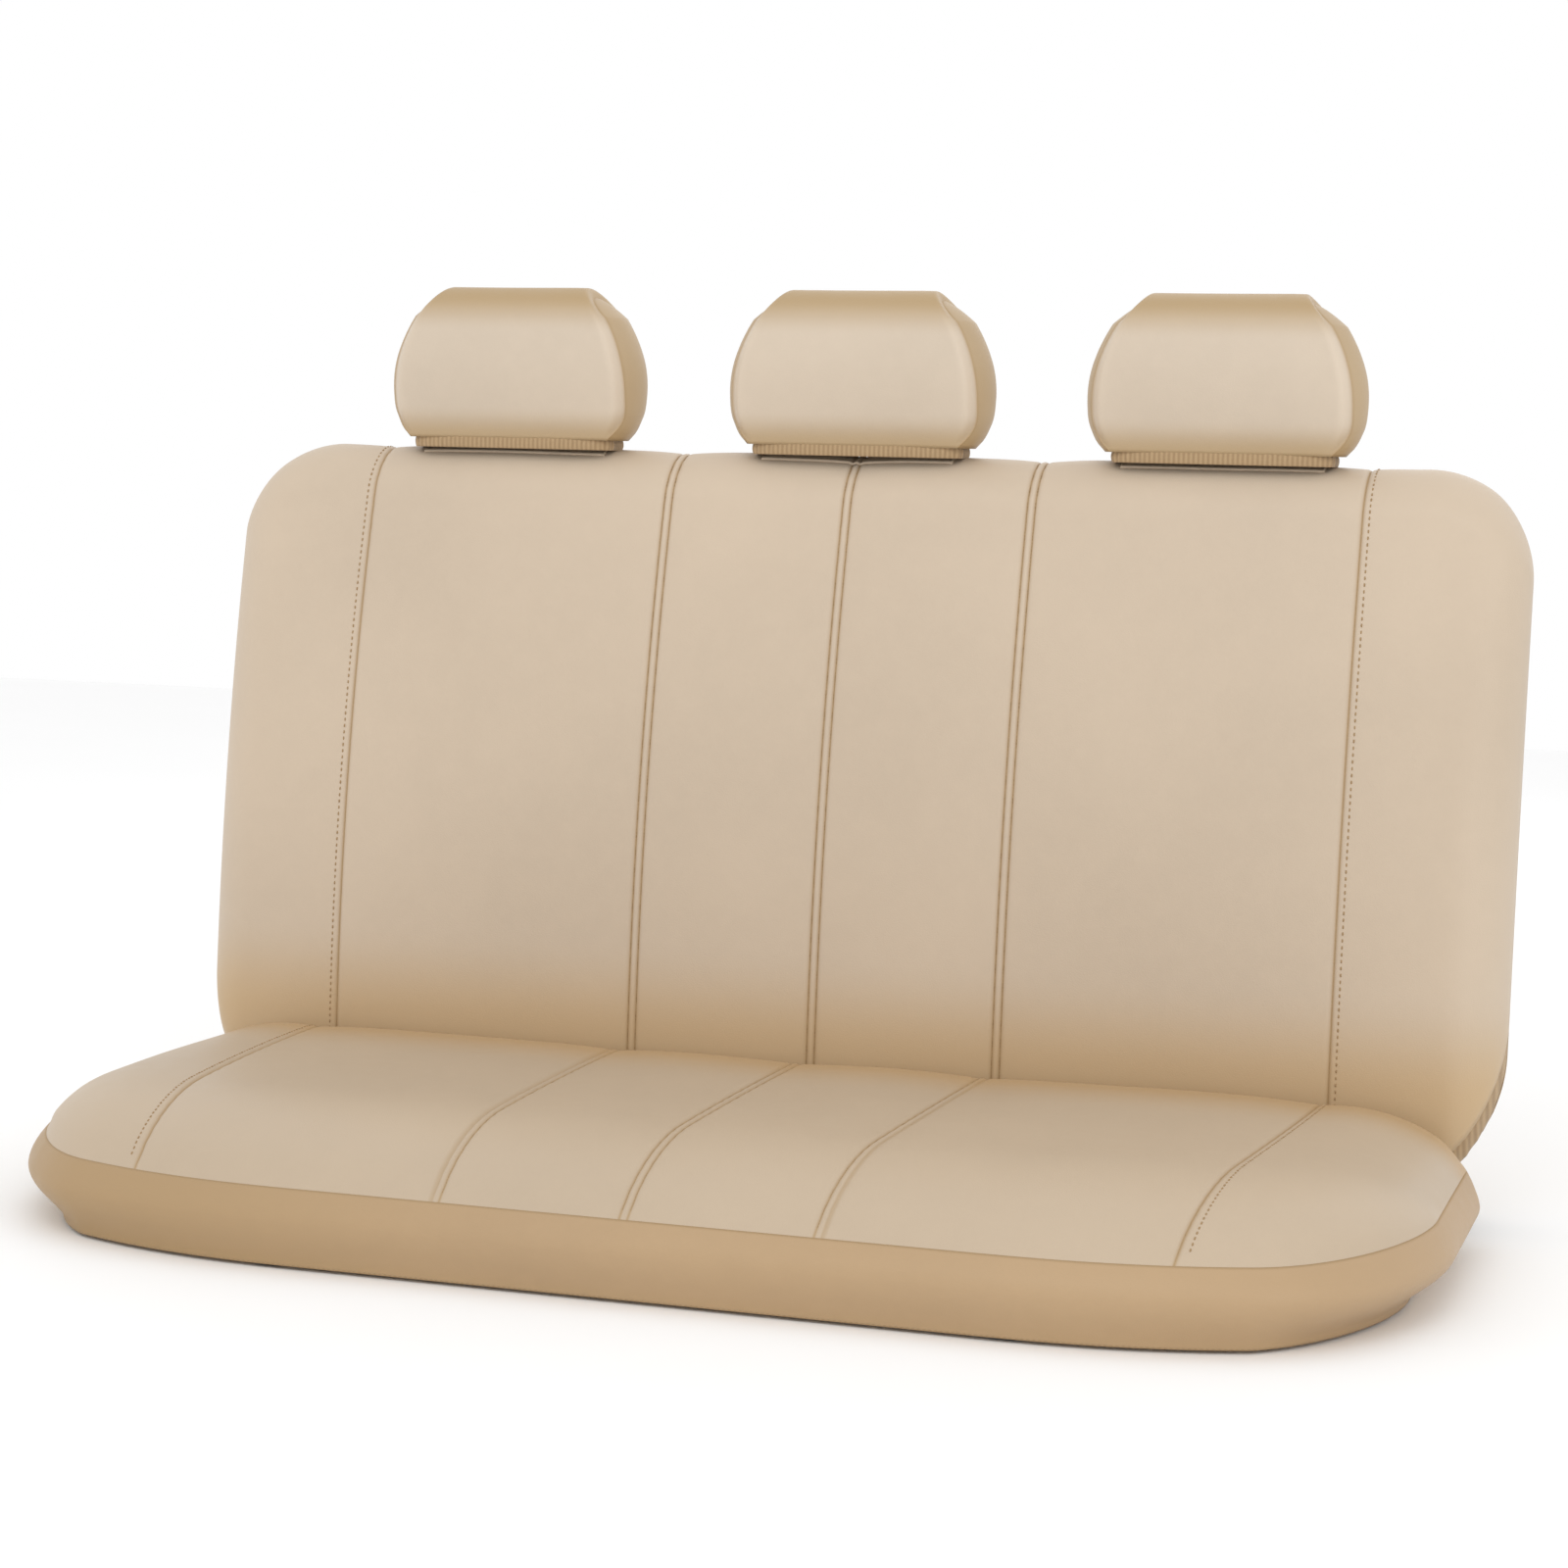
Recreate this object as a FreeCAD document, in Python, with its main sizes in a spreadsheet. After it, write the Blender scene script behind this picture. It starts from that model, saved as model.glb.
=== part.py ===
"""Rear bench seat cover set: a cushion cover, a backrest cover and three headrest covers.

Millimetres, +Z up, the seat's front towards -Y. The origin is on the floor, in the middle of
the set's box. Every cover is a hollow cloth shell in its fitted shape, cut at its seams.
"""
import FreeCAD, Part
import math
import os
import Sketcher
from FreeCAD import Placement, Rotation, Vector

SIZES = [
    # cloth and seams
    ("cloth", 4, "laminated leatherette: face, foam and backing"),
    ("flap_width", 8, "stitched flap over a split zip"),
    ("seam_bolster", 511, "dotted seam of the bolsters, from the middle"),
    ("seam_split", 188, "40/60 and 60/40 splits, from the middle"),
    # backrest cover
    ("half_width", 670, "half the backrest's width"),
    ("back_height", 712, "top of the backrest outline"),
    ("back_corner", 110, "top corner radius"),
    ("back_foot_corner", 130, "bottom corner radius"),
    ("back_front_foot", 190, "front face at the floor"),
    ("back_front_top", 278, "front face at the shoulder"),
    ("back_shoulder", 693, "height of the front shoulder"),
    ("back_front_bulge", 2300, "radius of the front face"),
    ("back_rear_foot", 293, "rear face at the floor"),
    ("back_rear_top", 362, "rear face at its top"),
    ("back_rear_height", 665, "height where the rear face ends"),
    ("back_top_radius", 47, "radius over the top"),
    ("back_hem", 25, "height of the elastic hem"),
    ("below", 6, "how far a form reaches below the cloth's edge"),
    ("past", 10, "how far a cutting form reaches past the cloth's sides"),
    ("behind", 100, "how far a cutting form reaches behind the rear face"),
    ("rear_lap", 6, "depth of the rear pieces' edge inside the outline"),
    ("patch_lift", 1.5, "thickness of a post slit patch"),
    ("patch_length", 200, "length of a post slit patch"),
    ("patch_depth", 36, "depth of a post slit patch"),
    ("patch_y", 318, "middle of a post slit patch"),
    # headrest covers
    ("headrest_pitch", 369, "spacing of the headrests"),
    ("headrest_foot", 715, "bottom edge of a headrest cover"),
    ("headrest_top", 877, "top of a headrest cover"),
    ("headrest_foot_half", 114, "half its width at the bottom"),
    ("headrest_top_half", 76, "half the straight part of its top"),
    ("headrest_side_top", 862, "height where the side curve ends"),
    ("headrest_side_half", 92, "half its width there"),
    ("headrest_side_radius", 122, "radius of its sides"),
    ("headrest_hem", 12, "height of its elastic hem"),
    ("headrest_front", 264, "front of its bottom edge"),
    ("headrest_rear", 362, "rear of its bottom edge"),
    ("headrest_rear_bulge", 500, "radius of its rear face"),
    ("headrest_rear_round", 16, "radius from the rear face to the top"),
    ("headrest_rear_inset", 8, "rear face's end, in from the rear"),
    ("headrest_crown", 200, "radius of its top, seen from the side"),
    ("headrest_crown_rear", 20, "rear end of the top, in from the rear"),
    ("headrest_crown_drop", 4, "how far that end is below the top"),
    ("headrest_crown_front", 38, "front end of the top, in from the front"),
    ("headrest_crown_dip", 3, "how far that end is below the top"),
    ("headrest_brow", 22, "radius from the top to the front face"),
    ("headrest_brow_inset", 18, "front face's end, in from the front"),
    ("headrest_brow_drop", 6, "how far that end is below the side curve's end"),
    ("headrest_front_bulge", 260, "radius of its front face"),
    ("headrest_top_corner", 22, "radius of the top's corners, seen from the front"),
    ("headrest_lap", 4.8, "depth of the wrap's edge over the gussets"),
    # zips on the rear of the backrest
    ("tape_width", 24, "woven tape of a zip"),
    ("chain_width", 5, "coil chain"),
    ("chain_height", 1.2, "how proud the chain stands"),
    ("chain_start", 50, "along the rear face"),
    ("chain_length", 560, "along the rear face"),
    ("slider_start", 70, "parked at the bottom"),
    ("slider_length", 14, ""),
    ("slider_width", 10, ""),
    ("slider_gap", 0.4, "running clearance over the chain"),
    ("slider_roof", 1.6, "thickness over the chain, and of the ears over the pin"),
    ("ear_thick", 1, "ears that hold the pin"),
    ("ear_gap", 0.4, "between an ear and the pull"),
    ("ear_bed", 0.6, "how deep an ear is set in the roof"),
    ("ear_long", 4.4, "ear along the slider"),
    ("pull_pin", 0.9, "pin radius"),
    ("pull_pin_y", 6.4, "pin height over the tape"),
    ("pull_pin_z", 10.5, "pin along the slider"),
    ("pull_eye", 1.4, "eye hole radius"),
    ("pull_disc", 2.3, "eye radius"),
    ("pull_neck", 3.4, "eye width"),
    ("pull_blade", 26, "length below the pin"),
    ("pull_blade_width", 8, ""),
    ("pull_blade_thick", 1.6, ""),
    ("pull_shoulder", 6, "height of the blade's shoulder"),
    ("pull_corner", 2, "radius of the blade's corners"),
    ("pull_eye_wall", 0.4, "blade's top edge, over the eye hole"),
    # cushion cover
    ("seat_half", 660, "half the cushion's width"),
    ("seat_front", -362, "front face at the floor"),
    ("seat_front_top", -331, "front seam"),
    ("seat_front_height", 97, "height of the front seam"),
    ("seat_front_radius", 110, "bulge of the front"),
    ("seat_seam_back", 2, "foot of the front seam's plane, behind the seam"),
    ("seat_seam_lean", 14, "head of the front seam's plane, before the seam"),
    ("seat_rear", 184, "rear face"),
    ("seat_rear_height", 118, "height of the rear edge"),
    ("seat_crown", 1300, "radius of the top"),
    ("seat_reach", -372, "front limit of the plan"),
    ("seat_front_corner", 150, "front corner radius"),
    ("seat_rear_corner", 60, "rear corner radius"),
    ("seat_hem", 3, "thickness of the turned hem"),
    ("seat_hem_width", 30, "how far the hem turns under"),
    # straps under the cushion
    ("strap_x", 330, "straps from the middle"),
    ("webbing_width", 25, ""),
    ("webbing_thick", 1.5, ""),
    ("webbing_lift", 1, "webbing above the floor"),
    ("buckle_y", -60, "front of the socket"),
    ("buckle_width", 34, ""),
    ("buckle_height", 11, ""),
    ("socket_length", 36, ""),
    ("socket_wall", 2.6, ""),
    ("bar_slot", 5, "slot behind the bar"),
    ("bar_width", 4, "bar that the sewn loop holds"),
    ("bar_height", 5.2, ""),
    ("loop_gap", 0.4, "between the bar and its loop"),
    ("loop_length", 12, "loop in front of the bar"),
    ("plug_length", 18, "plug block"),
    ("plug_gap", 0.6, "between socket and plug block"),
    ("prong_length", 24, ""),
    ("prong_width", 4.5, ""),
    ("prong_thick", 4, ""),
    ("prong_gap", 0.6, "between an outer prong and the case"),
    ("prong_root", 2, "how deep a prong is set in the block"),
    ("grip_corner", 6, "radius of the buckle's outer corners"),
    ("mating_corner", 2, "radius of the corners where the halves meet"),
    ("mouth_gap", 0.6, "beside the webbing in the bar's slot"),
    ("bar_root", 1, "how deep the bar's ends are set in the case"),
    ("window_start", 18, "side window, from the socket's mouth"),
    ("window_end", 6, "end of the side window, from the mouth"),
    ("slot_gap", 0.5, "round the webbing, and over a prong in a window"),
    ("through", 5, "how far a pocket runs past the case"),
]

doc = FreeCAD.newDocument("SeatCoverSet")
sheet = doc.addObject("Spreadsheet::Sheet", "Sizes")
for row, (alias, number, note) in enumerate(SIZES, start=1):
    sheet.set(f"A{row}", alias)
    sheet.set(f"B{row}", str(number))
    sheet.set(f"C{row}", note)
    sheet.setAlias(f"B{row}", alias)
doc.recompute()
ALIASES = sorted((alias for alias, _, _ in SIZES), key=len, reverse=True)
LONG = 2000
MID = -LONG / 2

SIDE = Placement(Vector(), Rotation(Vector(0, 1, 0), Vector(0, 0, 1), Vector(1, 0, 0), "ZXY"))
FRONT = Placement(Vector(), Rotation(Vector(1, 0, 0), Vector(0, 0, 1), Vector(0, -1, 0), "ZXY"))
PLAN = Placement()


def formula(size):
    """A size written with the sheet's words, as an expression of the document."""
    text = str(size)
    words = "".join(c if c.isalpha() or c == "_" else " " for c in text).split()
    for word in sorted(set(words), key=len, reverse=True):
        if word in ALIASES:
            parts = text.split(word)
            joined = parts[0]
            for part in parts[1:]:
                inside = joined[-1:].isalpha() or joined[-1:] == "_"
                inside = inside or part[:1].isalpha() or part[:1] == "_"
                joined += (word if inside else "Sizes." + word) + part
            text = joined
    return text


def value(size):
    """The number that a size or a formula stands for."""
    return float(sheet.evalExpression(formula(size)))


def bind(thing, prop, size):
    """Ties one property of an object to the sheet."""
    thing.setExpression(prop, formula(size))


def arc_of(start, end, radius):
    """The edge from start to end that bulges to the right of the way it runs."""
    length = math.dist(start, end)
    across = math.sqrt(radius * radius - length * length / 4)
    centre_x = (start[0] + end[0]) / 2 - across * (end[1] - start[1]) / length
    centre_y = (start[1] + end[1]) / 2 + across * (end[0] - start[0]) / length
    first = math.atan2(start[1] - centre_y, start[0] - centre_x)
    last = math.atan2(end[1] - centre_y, end[0] - centre_x)
    circle = Part.Circle(Vector(centre_x, centre_y, 0), Vector(0, 0, 1), radius)
    return Part.ArcOfCircle(circle, first, last)


def draw(sketch, points):
    """Closes a sketch through points (u, v, r), counterclockwise: r is the radius of the edge
    that leaves the point, or 0 where it is straight."""
    numbers = [(value(u), value(v)) for u, v, _ in points]
    ends = numbers[1:] + numbers[:1]
    for start, end, (_, _, radius) in zip(numbers, ends, points):
        if radius:
            sketch.addGeometry(arc_of(start, end, value(radius)), False)
        else:
            sketch.addGeometry(Part.LineSegment(Vector(*start, 0), Vector(*end, 0)), False)
    count = len(points)
    for edge in range(count):
        sketch.addConstraint(
            Sketcher.Constraint("Coincident", edge, 2, (edge + 1) % count, 1))
    for edge, ((u, v, radius), place) in enumerate(zip(points, numbers)):
        for kind, size, number in (("DistanceX", u, place[0]), ("DistanceY", v, place[1])):
            index = sketch.addConstraint(Sketcher.Constraint(kind, -1, 1, edge, 1, number))
            bind(sketch, f"Constraints[{index}]", size)
        if radius:
            index = sketch.addConstraint(Sketcher.Constraint("Radius", edge, value(radius)))
            bind(sketch, f"Constraints[{index}]", radius)
    return sketch


def outline(name, plane, points, shift_x=0):
    """A free sketch of a form's section or outline."""
    sketch = doc.addObject("Sketcher::SketchObject", name)
    sketch.Placement = plane
    draw(sketch, points)
    if shift_x:
        bind(sketch, "Placement.Base.x", shift_x)
    return sketch


def rounded(half_x, low, high, low_radius, high_radius):
    """Points of an upright rectangle with round corners."""
    return [
        (f"-{half_x} + {low_radius}", low, 0),
        (f"{half_x} - {low_radius}", low, low_radius),
        (half_x, f"{low} + {low_radius}", 0),
        (half_x, f"{high} - {high_radius}", high_radius),
        (f"{half_x} - {high_radius}", high, 0),
        (f"-{half_x} + {high_radius}", high, high_radius),
        (f"-{half_x}", f"{high} - {high_radius}", 0),
        (f"-{half_x}", f"{low} + {low_radius}", low_radius),
    ]


def inset(source, size):
    """The outline moved inwards by a size, or outwards where it is negative."""
    ring = doc.addObject("Part::Offset2D", source.Name + "Inset")
    ring.Source = source
    ring.Join = 2
    ring.Fill = False
    bind(ring, "Value", f"-({size})")
    return ring


def sweep(source, direction, length=LONG, middle=True):
    """The prism of an outline along a direction."""
    prism = doc.addObject("Part::Extrusion", source.Name + "Prism")
    prism.Base = source
    prism.DirMode = "Custom"
    prism.Dir = direction
    bind(prism, "LengthFwd", length)
    prism.Symmetric = middle
    prism.Solid = True
    return prism


def block(name, low, size):
    """A box from its low corner and its size, each three sizes."""
    solid = doc.addObject("Part::Box", name)
    for prop, length in zip(("Length", "Width", "Height"), size):
        bind(solid, prop, length)
    for axis, start in zip("xyz", low):
        bind(solid, f"Placement.Base.{axis}", start)
    return solid


def common(name, *things):
    both = doc.addObject("Part::MultiCommon", name)
    both.Shapes = list(things)
    return both


def cut(name, base, tool):
    rest = doc.addObject("Part::Cut", name)
    rest.Base = base
    rest.Tool = tool
    return rest


def fuse(name, *things):
    whole = doc.addObject("Part::MultiFuse", name)
    whole.Shapes = list(things)
    return whole


nodes = {}


def keep(node, thing):
    """Names a finished sub-part."""
    thing.Label = node
    nodes[node] = thing
    return thing


def shell(name, side, face, side_direction, face_direction):
    """The hollow cloth form where two prisms cross, and its outer form."""
    outer = common(name + "Outer", sweep(side, side_direction), sweep(face, face_direction))
    inner = common(
        name + "Inner",
        sweep(inset(side, "cloth"), side_direction),
        sweep(inset(face, "cloth"), face_direction))
    return outer, cut(name + "Cloth", outer, inner)


# ---------------------------------------------------------------- backrest cover
back_side = outline("BackSide", SIDE, [
    ("back_front_foot", "-below", 0),
    ("back_rear_foot", "-below", 0),
    ("back_rear_foot", 0, 0),
    ("back_rear_top", "back_rear_height", "back_top_radius"),
    ("back_front_top", "back_shoulder", "back_front_bulge"),
    ("back_front_foot", 0, 0),
])
back_face = outline(
    "BackFace", FRONT,
    rounded("half_width", "-below", "back_height", "back_foot_corner", "back_corner"))
back_outer, back_cloth = shell("Back", back_side, back_face, Vector(1, 0, 0), Vector(0, 1, 0))

# the rear face, where knit panels and zips take over from the leatherette
rear_zone = outline("BackRearZone", SIDE, [
    ("back_rear_foot - rear_lap", "-2 * below", 0),
    ("back_rear_foot + behind", "-2 * below", 0),
    ("back_rear_top + behind", "back_rear_height", 0),
    ("back_rear_top - rear_lap", "back_rear_height", 0),
    ("back_rear_foot - rear_lap", 0, 0),
])
rear_limit = inset(back_face, "rear_lap")
rear_form = common(
    "BackRearForm",
    sweep(rear_zone, Vector(1, 0, 0)),
    sweep(rear_limit, Vector(0, 1, 0)),
    block("BackRearAbove", (MID, MID, "back_hem"), (LONG, LONG, LONG)))
back_rear = common("BackRearCloth", back_cloth, rear_form)
back_above = common(
    "BackAboveHem", back_cloth,
    block("BackAbove", (MID, MID, "back_hem"), (LONG, LONG, LONG)))
back_front = cut("BackFrontCloth", back_above, rear_form)
keep("back_hem_elastic", common(
    "BackHem", back_cloth, block("BackHemZone", (MID, MID, 0), (LONG, LONG, "back_hem"))))


def strip(name, cloth, low_x, high_x):
    """The part of a cloth between two upright seams."""
    zone = block(name + "Zone", (low_x, MID, MID), (f"({high_x}) - ({low_x})", LONG, LONG))
    return common(name, cloth, zone)


BACK_EDGE = "half_width + past"
half_flap = "flap_width / 2"
back_seams = [
    ("back_bolster_left", f"-({BACK_EDGE})", "-seam_bolster"),
    ("back_panel_left", "-seam_bolster", f"-seam_split - {half_flap}"),
    ("split_flap_left", f"-seam_split - {half_flap}", f"-seam_split + {half_flap}"),
    ("back_panel_centre_left", f"-seam_split + {half_flap}", f"-{half_flap}"),
    ("split_flap_centre", f"-{half_flap}", half_flap),
    ("back_panel_centre_right", half_flap, f"seam_split - {half_flap}"),
    ("split_flap_right", f"seam_split - {half_flap}", f"seam_split + {half_flap}"),
    ("back_panel_right", f"seam_split + {half_flap}", "seam_bolster"),
    ("back_bolster_right", "seam_bolster", BACK_EDGE),
]
for node, low_x, high_x in back_seams:
    keep(node, strip(node.title().replace("_", ""), back_front, low_x, high_x))

half_tape = "tape_width / 2"
rear_seams = [
    ("rear_panel_left", f"-({BACK_EDGE})", f"-seam_split - {half_tape}"),
    ("rear_panel_centre_left", f"-seam_split + {half_tape}", f"-{half_tape}"),
    ("rear_panel_centre_right", half_tape, f"seam_split - {half_tape}"),
    ("rear_panel_right", f"seam_split + {half_tape}", BACK_EDGE),
]
for node, low_x, high_x in rear_seams:
    keep(node, strip(node.title().replace("_", ""), back_rear, low_x, high_x))


LEAN = "atan((Sizes.back_rear_top - Sizes.back_rear_foot) / Sizes.back_rear_height)"


def on_rear(thing, x, along, out="0", turned=True):
    """Places an object on the rear face, along it from the floor and out of it. A turned one
    has its own z up the face and its y out of it."""
    if turned:
        thing.setExpression("Placement.Rotation.Axis.x", "1")
        thing.setExpression("Placement.Rotation.Axis.y", "0")
        thing.setExpression("Placement.Rotation.Axis.z", "0")
        thing.setExpression("Placement.Rotation.Angle", f"-{LEAN}")
    up = f"({formula(along)})"
    off = f"({formula(out)})"
    bind(thing, "Placement.Base.x", x)
    thing.setExpression(
        "Placement.Base.y", f"Sizes.back_rear_foot + {up} * sin({LEAN}) + {off} * cos({LEAN})")
    thing.setExpression("Placement.Base.z", f"{up} * cos({LEAN}) - {off} * sin({LEAN})")
    return thing


def body_sketch(body, name, role, points=None, circle=None):
    """A sketch on one of the body's own origin planes."""
    sketch = body.newObject("Sketcher::SketchObject", name)
    plane = [f for f in body.Origin.OriginFeatures if f.Role == role][0]
    sketch.AttachmentSupport = [(plane, "")]
    sketch.MapMode = "FlatFace"
    if points:
        draw(sketch, points)
    if circle:
        u, v, radius = circle
        centre = Vector(value(u), value(v), 0)
        sketch.addGeometry(Part.Circle(centre, Vector(0, 0, 1), value(radius)), False)
        for kind, size in (("DistanceX", u), ("DistanceY", v)):
            index = sketch.addConstraint(Sketcher.Constraint(kind, -1, 1, 0, 3, value(size)))
            bind(sketch, f"Constraints[{index}]", size)
        index = sketch.addConstraint(Sketcher.Constraint("Radius", 0, value(radius)))
        bind(sketch, f"Constraints[{index}]", radius)
    return sketch


def pad(body, name, sketch, length):
    feature = body.newObject("PartDesign::Pad", name)
    feature.Profile = sketch
    bind(feature, "Length", length)
    feature.Midplane = True
    return feature


def pocket(body, name, sketch, length):
    feature = body.newObject("PartDesign::Pocket", name)
    feature.Profile = sketch
    bind(feature, "Length", length)
    feature.Midplane = True
    return feature


def zip_slider(node, x):
    """A cap that runs over the chain, with two ears and the pin of its pull."""
    name = node.title().replace("_", "")
    roof = "chain_height + slider_gap"
    inner = "chain_width / 2 + slider_gap"
    plate = block(
        name + "Plate", ("-slider_width / 2", "slider_gap", 0),
        ("slider_width", f"{roof} + slider_roof - slider_gap", "slider_length"))
    channel = block(
        name + "Channel", (f"-({inner})", -1, -1),
        (f"2 * ({inner})", f"{roof} + 1", "slider_length + 2"))
    cap = cut(name + "Cap", plate, channel)
    ears = []
    for side in (-1, 1):
        middle = f"{side} * (pull_neck / 2 + ear_gap + ear_thick / 2)"
        ear_low = f"{roof} + slider_roof - ear_bed"
        ears.append(block(
            f"{name}Ear{side + 1}",
            (f"{middle} - ear_thick / 2", ear_low, "pull_pin_z - ear_long / 2"),
            ("ear_thick", f"pull_pin_y + slider_roof - ({ear_low})", "ear_long")))
    pin = doc.addObject("Part::Cylinder", name + "Pin")
    bind(pin, "Radius", "pull_pin")
    bind(pin, "Height", "pull_neck + 2 * ear_thick")
    pin.Placement = Placement(Vector(), Rotation(Vector(0, 1, 0), 90))
    bind(pin, "Placement.Base.x", "-(pull_neck + 2 * ear_thick) / 2")
    bind(pin, "Placement.Base.y", "pull_pin_y")
    bind(pin, "Placement.Base.z", "pull_pin_z")
    slider = fuse(name, cap, *ears, pin)
    return keep(node, on_rear(slider, x, "slider_start"))


def zip_pull(node, x):
    """A blade that hangs straight down from the slider's pin."""
    name = node.title().replace("_", "")
    body = doc.addObject("PartDesign::Body", name)
    blade = body_sketch(body, name + "BladeSketch", "XZ_Plane", points=[
        ("-pull_neck / 2", "-pull_disc", 0),
        ("-pull_blade_width / 2", "-pull_disc - pull_shoulder", 0),
        ("-pull_blade_width / 2", "pull_corner - pull_blade", "pull_corner"),
        ("pull_corner - pull_blade_width / 2", "-pull_blade", 0),
        ("pull_blade_width / 2 - pull_corner", "-pull_blade", "pull_corner"),
        ("pull_blade_width / 2", "pull_corner - pull_blade", 0),
        ("pull_blade_width / 2", "-pull_disc - pull_shoulder", 0),
        ("pull_neck / 2", "-pull_disc", 0),
        ("pull_neck / 2", "-pull_eye - pull_eye_wall", 0),
        ("-pull_neck / 2", "-pull_eye - pull_eye_wall", 0),
    ])
    pad(body, name + "Blade", blade, "pull_blade_thick")
    disc = body_sketch(body, name + "DiscSketch", "YZ_Plane", circle=(0, 0, "pull_disc"))
    pad(body, name + "Disc", disc, "pull_neck")
    eye = body_sketch(body, name + "EyeSketch", "YZ_Plane", circle=(0, 0, "pull_eye"))
    pocket(body, name + "Eye", eye, "pull_neck + pull_corner")
    on_rear(body, x, "slider_start + pull_pin_z", "pull_pin_y", turned=False)
    return keep(node, body)


for side, x in (("left", "-seam_split"), ("centre", "0"), ("right", "seam_split")):
    node = f"zip_{side}"
    tape = strip(
        f"ZipTape{side.title()}", back_rear, f"{x} - {half_tape}", f"{x} + {half_tape}")
    chain = block(
        f"ZipChain{side.title()}", (0, 0, 0),
        ("chain_width", "chain_height + cloth / 2", "chain_length"))
    on_rear(chain, f"{x} - chain_width / 2", "chain_start", "-cloth / 2")
    keep(node, fuse(f"Zip{side.title()}", tape, chain))
    zip_slider(f"zip_slider_{side}", x)
    zip_pull(f"zip_pull_{side}", x)

# slit patches on the top of the backrest, where the headrest posts come through
patch_form = sweep(inset(back_side, "-patch_lift"), Vector(1, 0, 0))
patch_cloth = cut("PatchCloth", patch_form, back_outer)
for side, x in (("left", "-headrest_pitch"), ("centre", "0"), ("right", "headrest_pitch")):
    zone = block(
        f"Patch{side.title()}Zone",
        (f"{x} - patch_length / 2", "patch_y - patch_depth / 2", "back_shoulder"),
        ("patch_length", "patch_depth", "back_height - back_shoulder + patch_lift"))
    keep(f"post_slit_patch_{side}", common(f"Patch{side.title()}", patch_cloth, zone))

# ---------------------------------------------------------------- headrest covers
for side, x in (("left", "-headrest_pitch"), ("centre", 0), ("right", "headrest_pitch")):
    name = f"Headrest{side.title()}"
    low = "headrest_foot - below"
    head_side = outline(name + "Side", SIDE, [
        ("headrest_front", low, 0),
        ("headrest_rear", low, 0),
        ("headrest_rear", "headrest_foot", "headrest_rear_bulge"),
        ("headrest_rear - headrest_rear_inset", "headrest_side_top - headrest_rear_inset",
         "headrest_rear_round"),
        ("headrest_rear - headrest_crown_rear", "headrest_top - headrest_crown_drop",
         "headrest_crown"),
        ("headrest_front + headrest_crown_front", "headrest_top - headrest_crown_dip",
         "headrest_brow"),
        ("headrest_front + headrest_brow_inset", "headrest_side_top - headrest_brow_drop",
         "headrest_front_bulge"),
        ("headrest_front", "headrest_foot", 0),
    ])
    head_face = outline(name + "Face", FRONT, [
        ("-headrest_foot_half", low, 0),
        ("headrest_foot_half", low, 0),
        ("headrest_foot_half", "headrest_foot", "headrest_side_radius"),
        ("headrest_side_half", "headrest_side_top", "headrest_top_corner"),
        ("headrest_top_half", "headrest_top", 0),
        ("-headrest_top_half", "headrest_top", "headrest_top_corner"),
        ("-headrest_side_half", "headrest_side_top", "headrest_side_radius"),
        ("-headrest_foot_half", "headrest_foot", 0),
    ], x)
    head_outer, head_cloth = shell(name, head_side, head_face, Vector(1, 0, 0), Vector(0, 1, 0))
    lining = sweep(inset(head_face, "headrest_lap"), Vector(0, 1, 0))
    above = block(name + "Above", (MID, MID, "headrest_foot + headrest_hem"), (LONG, LONG, LONG))
    wall = common(name + "Wall", head_cloth, above)
    ends = cut(name + "Ends", wall, lining)
    gussets = []
    end_zones = [
        ("left", f"{x} - 2 * headrest_foot_half"),
        ("right", f"{x} + headrest_top_half"),
    ]
    for end, low_x in end_zones:
        zone = block(
            f"{name}{end.title()}Zone", (low_x, MID, 0),
            ("2 * headrest_foot_half - headrest_top_half", LONG, LONG))
        gusset = common(f"{name}Gusset{end.title()}", ends, zone)
        gussets.append(keep(f"headrest_{side}_gusset_{end}", gusset))
    copies = [common(f"{name}Copy{i}", gusset, wall) for i, gusset in enumerate(gussets)]
    both = fuse(name + "Gussets", *copies)
    keep(f"headrest_{side}_wrap", cut(name + "Wrap", wall, both))
    keep(f"headrest_{side}_hem", common(
        name + "Hem", head_cloth,
        block(name + "HemZone", (MID, MID, "headrest_foot"), (LONG, LONG, "headrest_hem"))))

# ---------------------------------------------------------------- cushion cover
seat_side = outline("SeatSide", SIDE, [
    ("seat_front", "-below", 0),
    ("seat_rear", "-below", 0),
    ("seat_rear", "seat_rear_height", "seat_crown"),
    ("seat_front_top", "seat_front_height", "seat_front_radius"),
    ("seat_front", 0, 0),
])
seat_plan = outline("SeatPlan", PLAN, rounded(
    "seat_half", "seat_reach", "seat_rear", "seat_front_corner", "seat_rear_corner"))
seat_outer, seat_cloth = shell("Seat", seat_side, seat_plan, Vector(1, 0, 0), Vector(0, 0, 1))
seat_above = common(
    "SeatAboveHem", seat_cloth,
    block("SeatAbove", (MID, MID, "seat_hem"), (LONG, LONG, LONG)))
top_zone = outline("SeatTopZone", SIDE, [
    ("seat_front_top + seat_seam_back", 0, 0),
    ("seat_rear - cloth", 0, 0),
    ("seat_rear - cloth", "2 * seat_rear_height", 0),
    ("seat_front_top - seat_seam_lean", "2 * seat_rear_height", 0),
])
top_form = common(
    "SeatTopForm", sweep(top_zone, Vector(1, 0, 0)),
    sweep(inset(seat_plan, "cloth"), Vector(0, 0, 1)))
seat_top = common("SeatTop", seat_above, top_form)
seat_band = cut("SeatBand", seat_above, top_form)
rear_band = block(
    "SeatRearZone", (MID, "seat_rear - seat_rear_corner", MID), (LONG, LONG, LONG))
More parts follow.
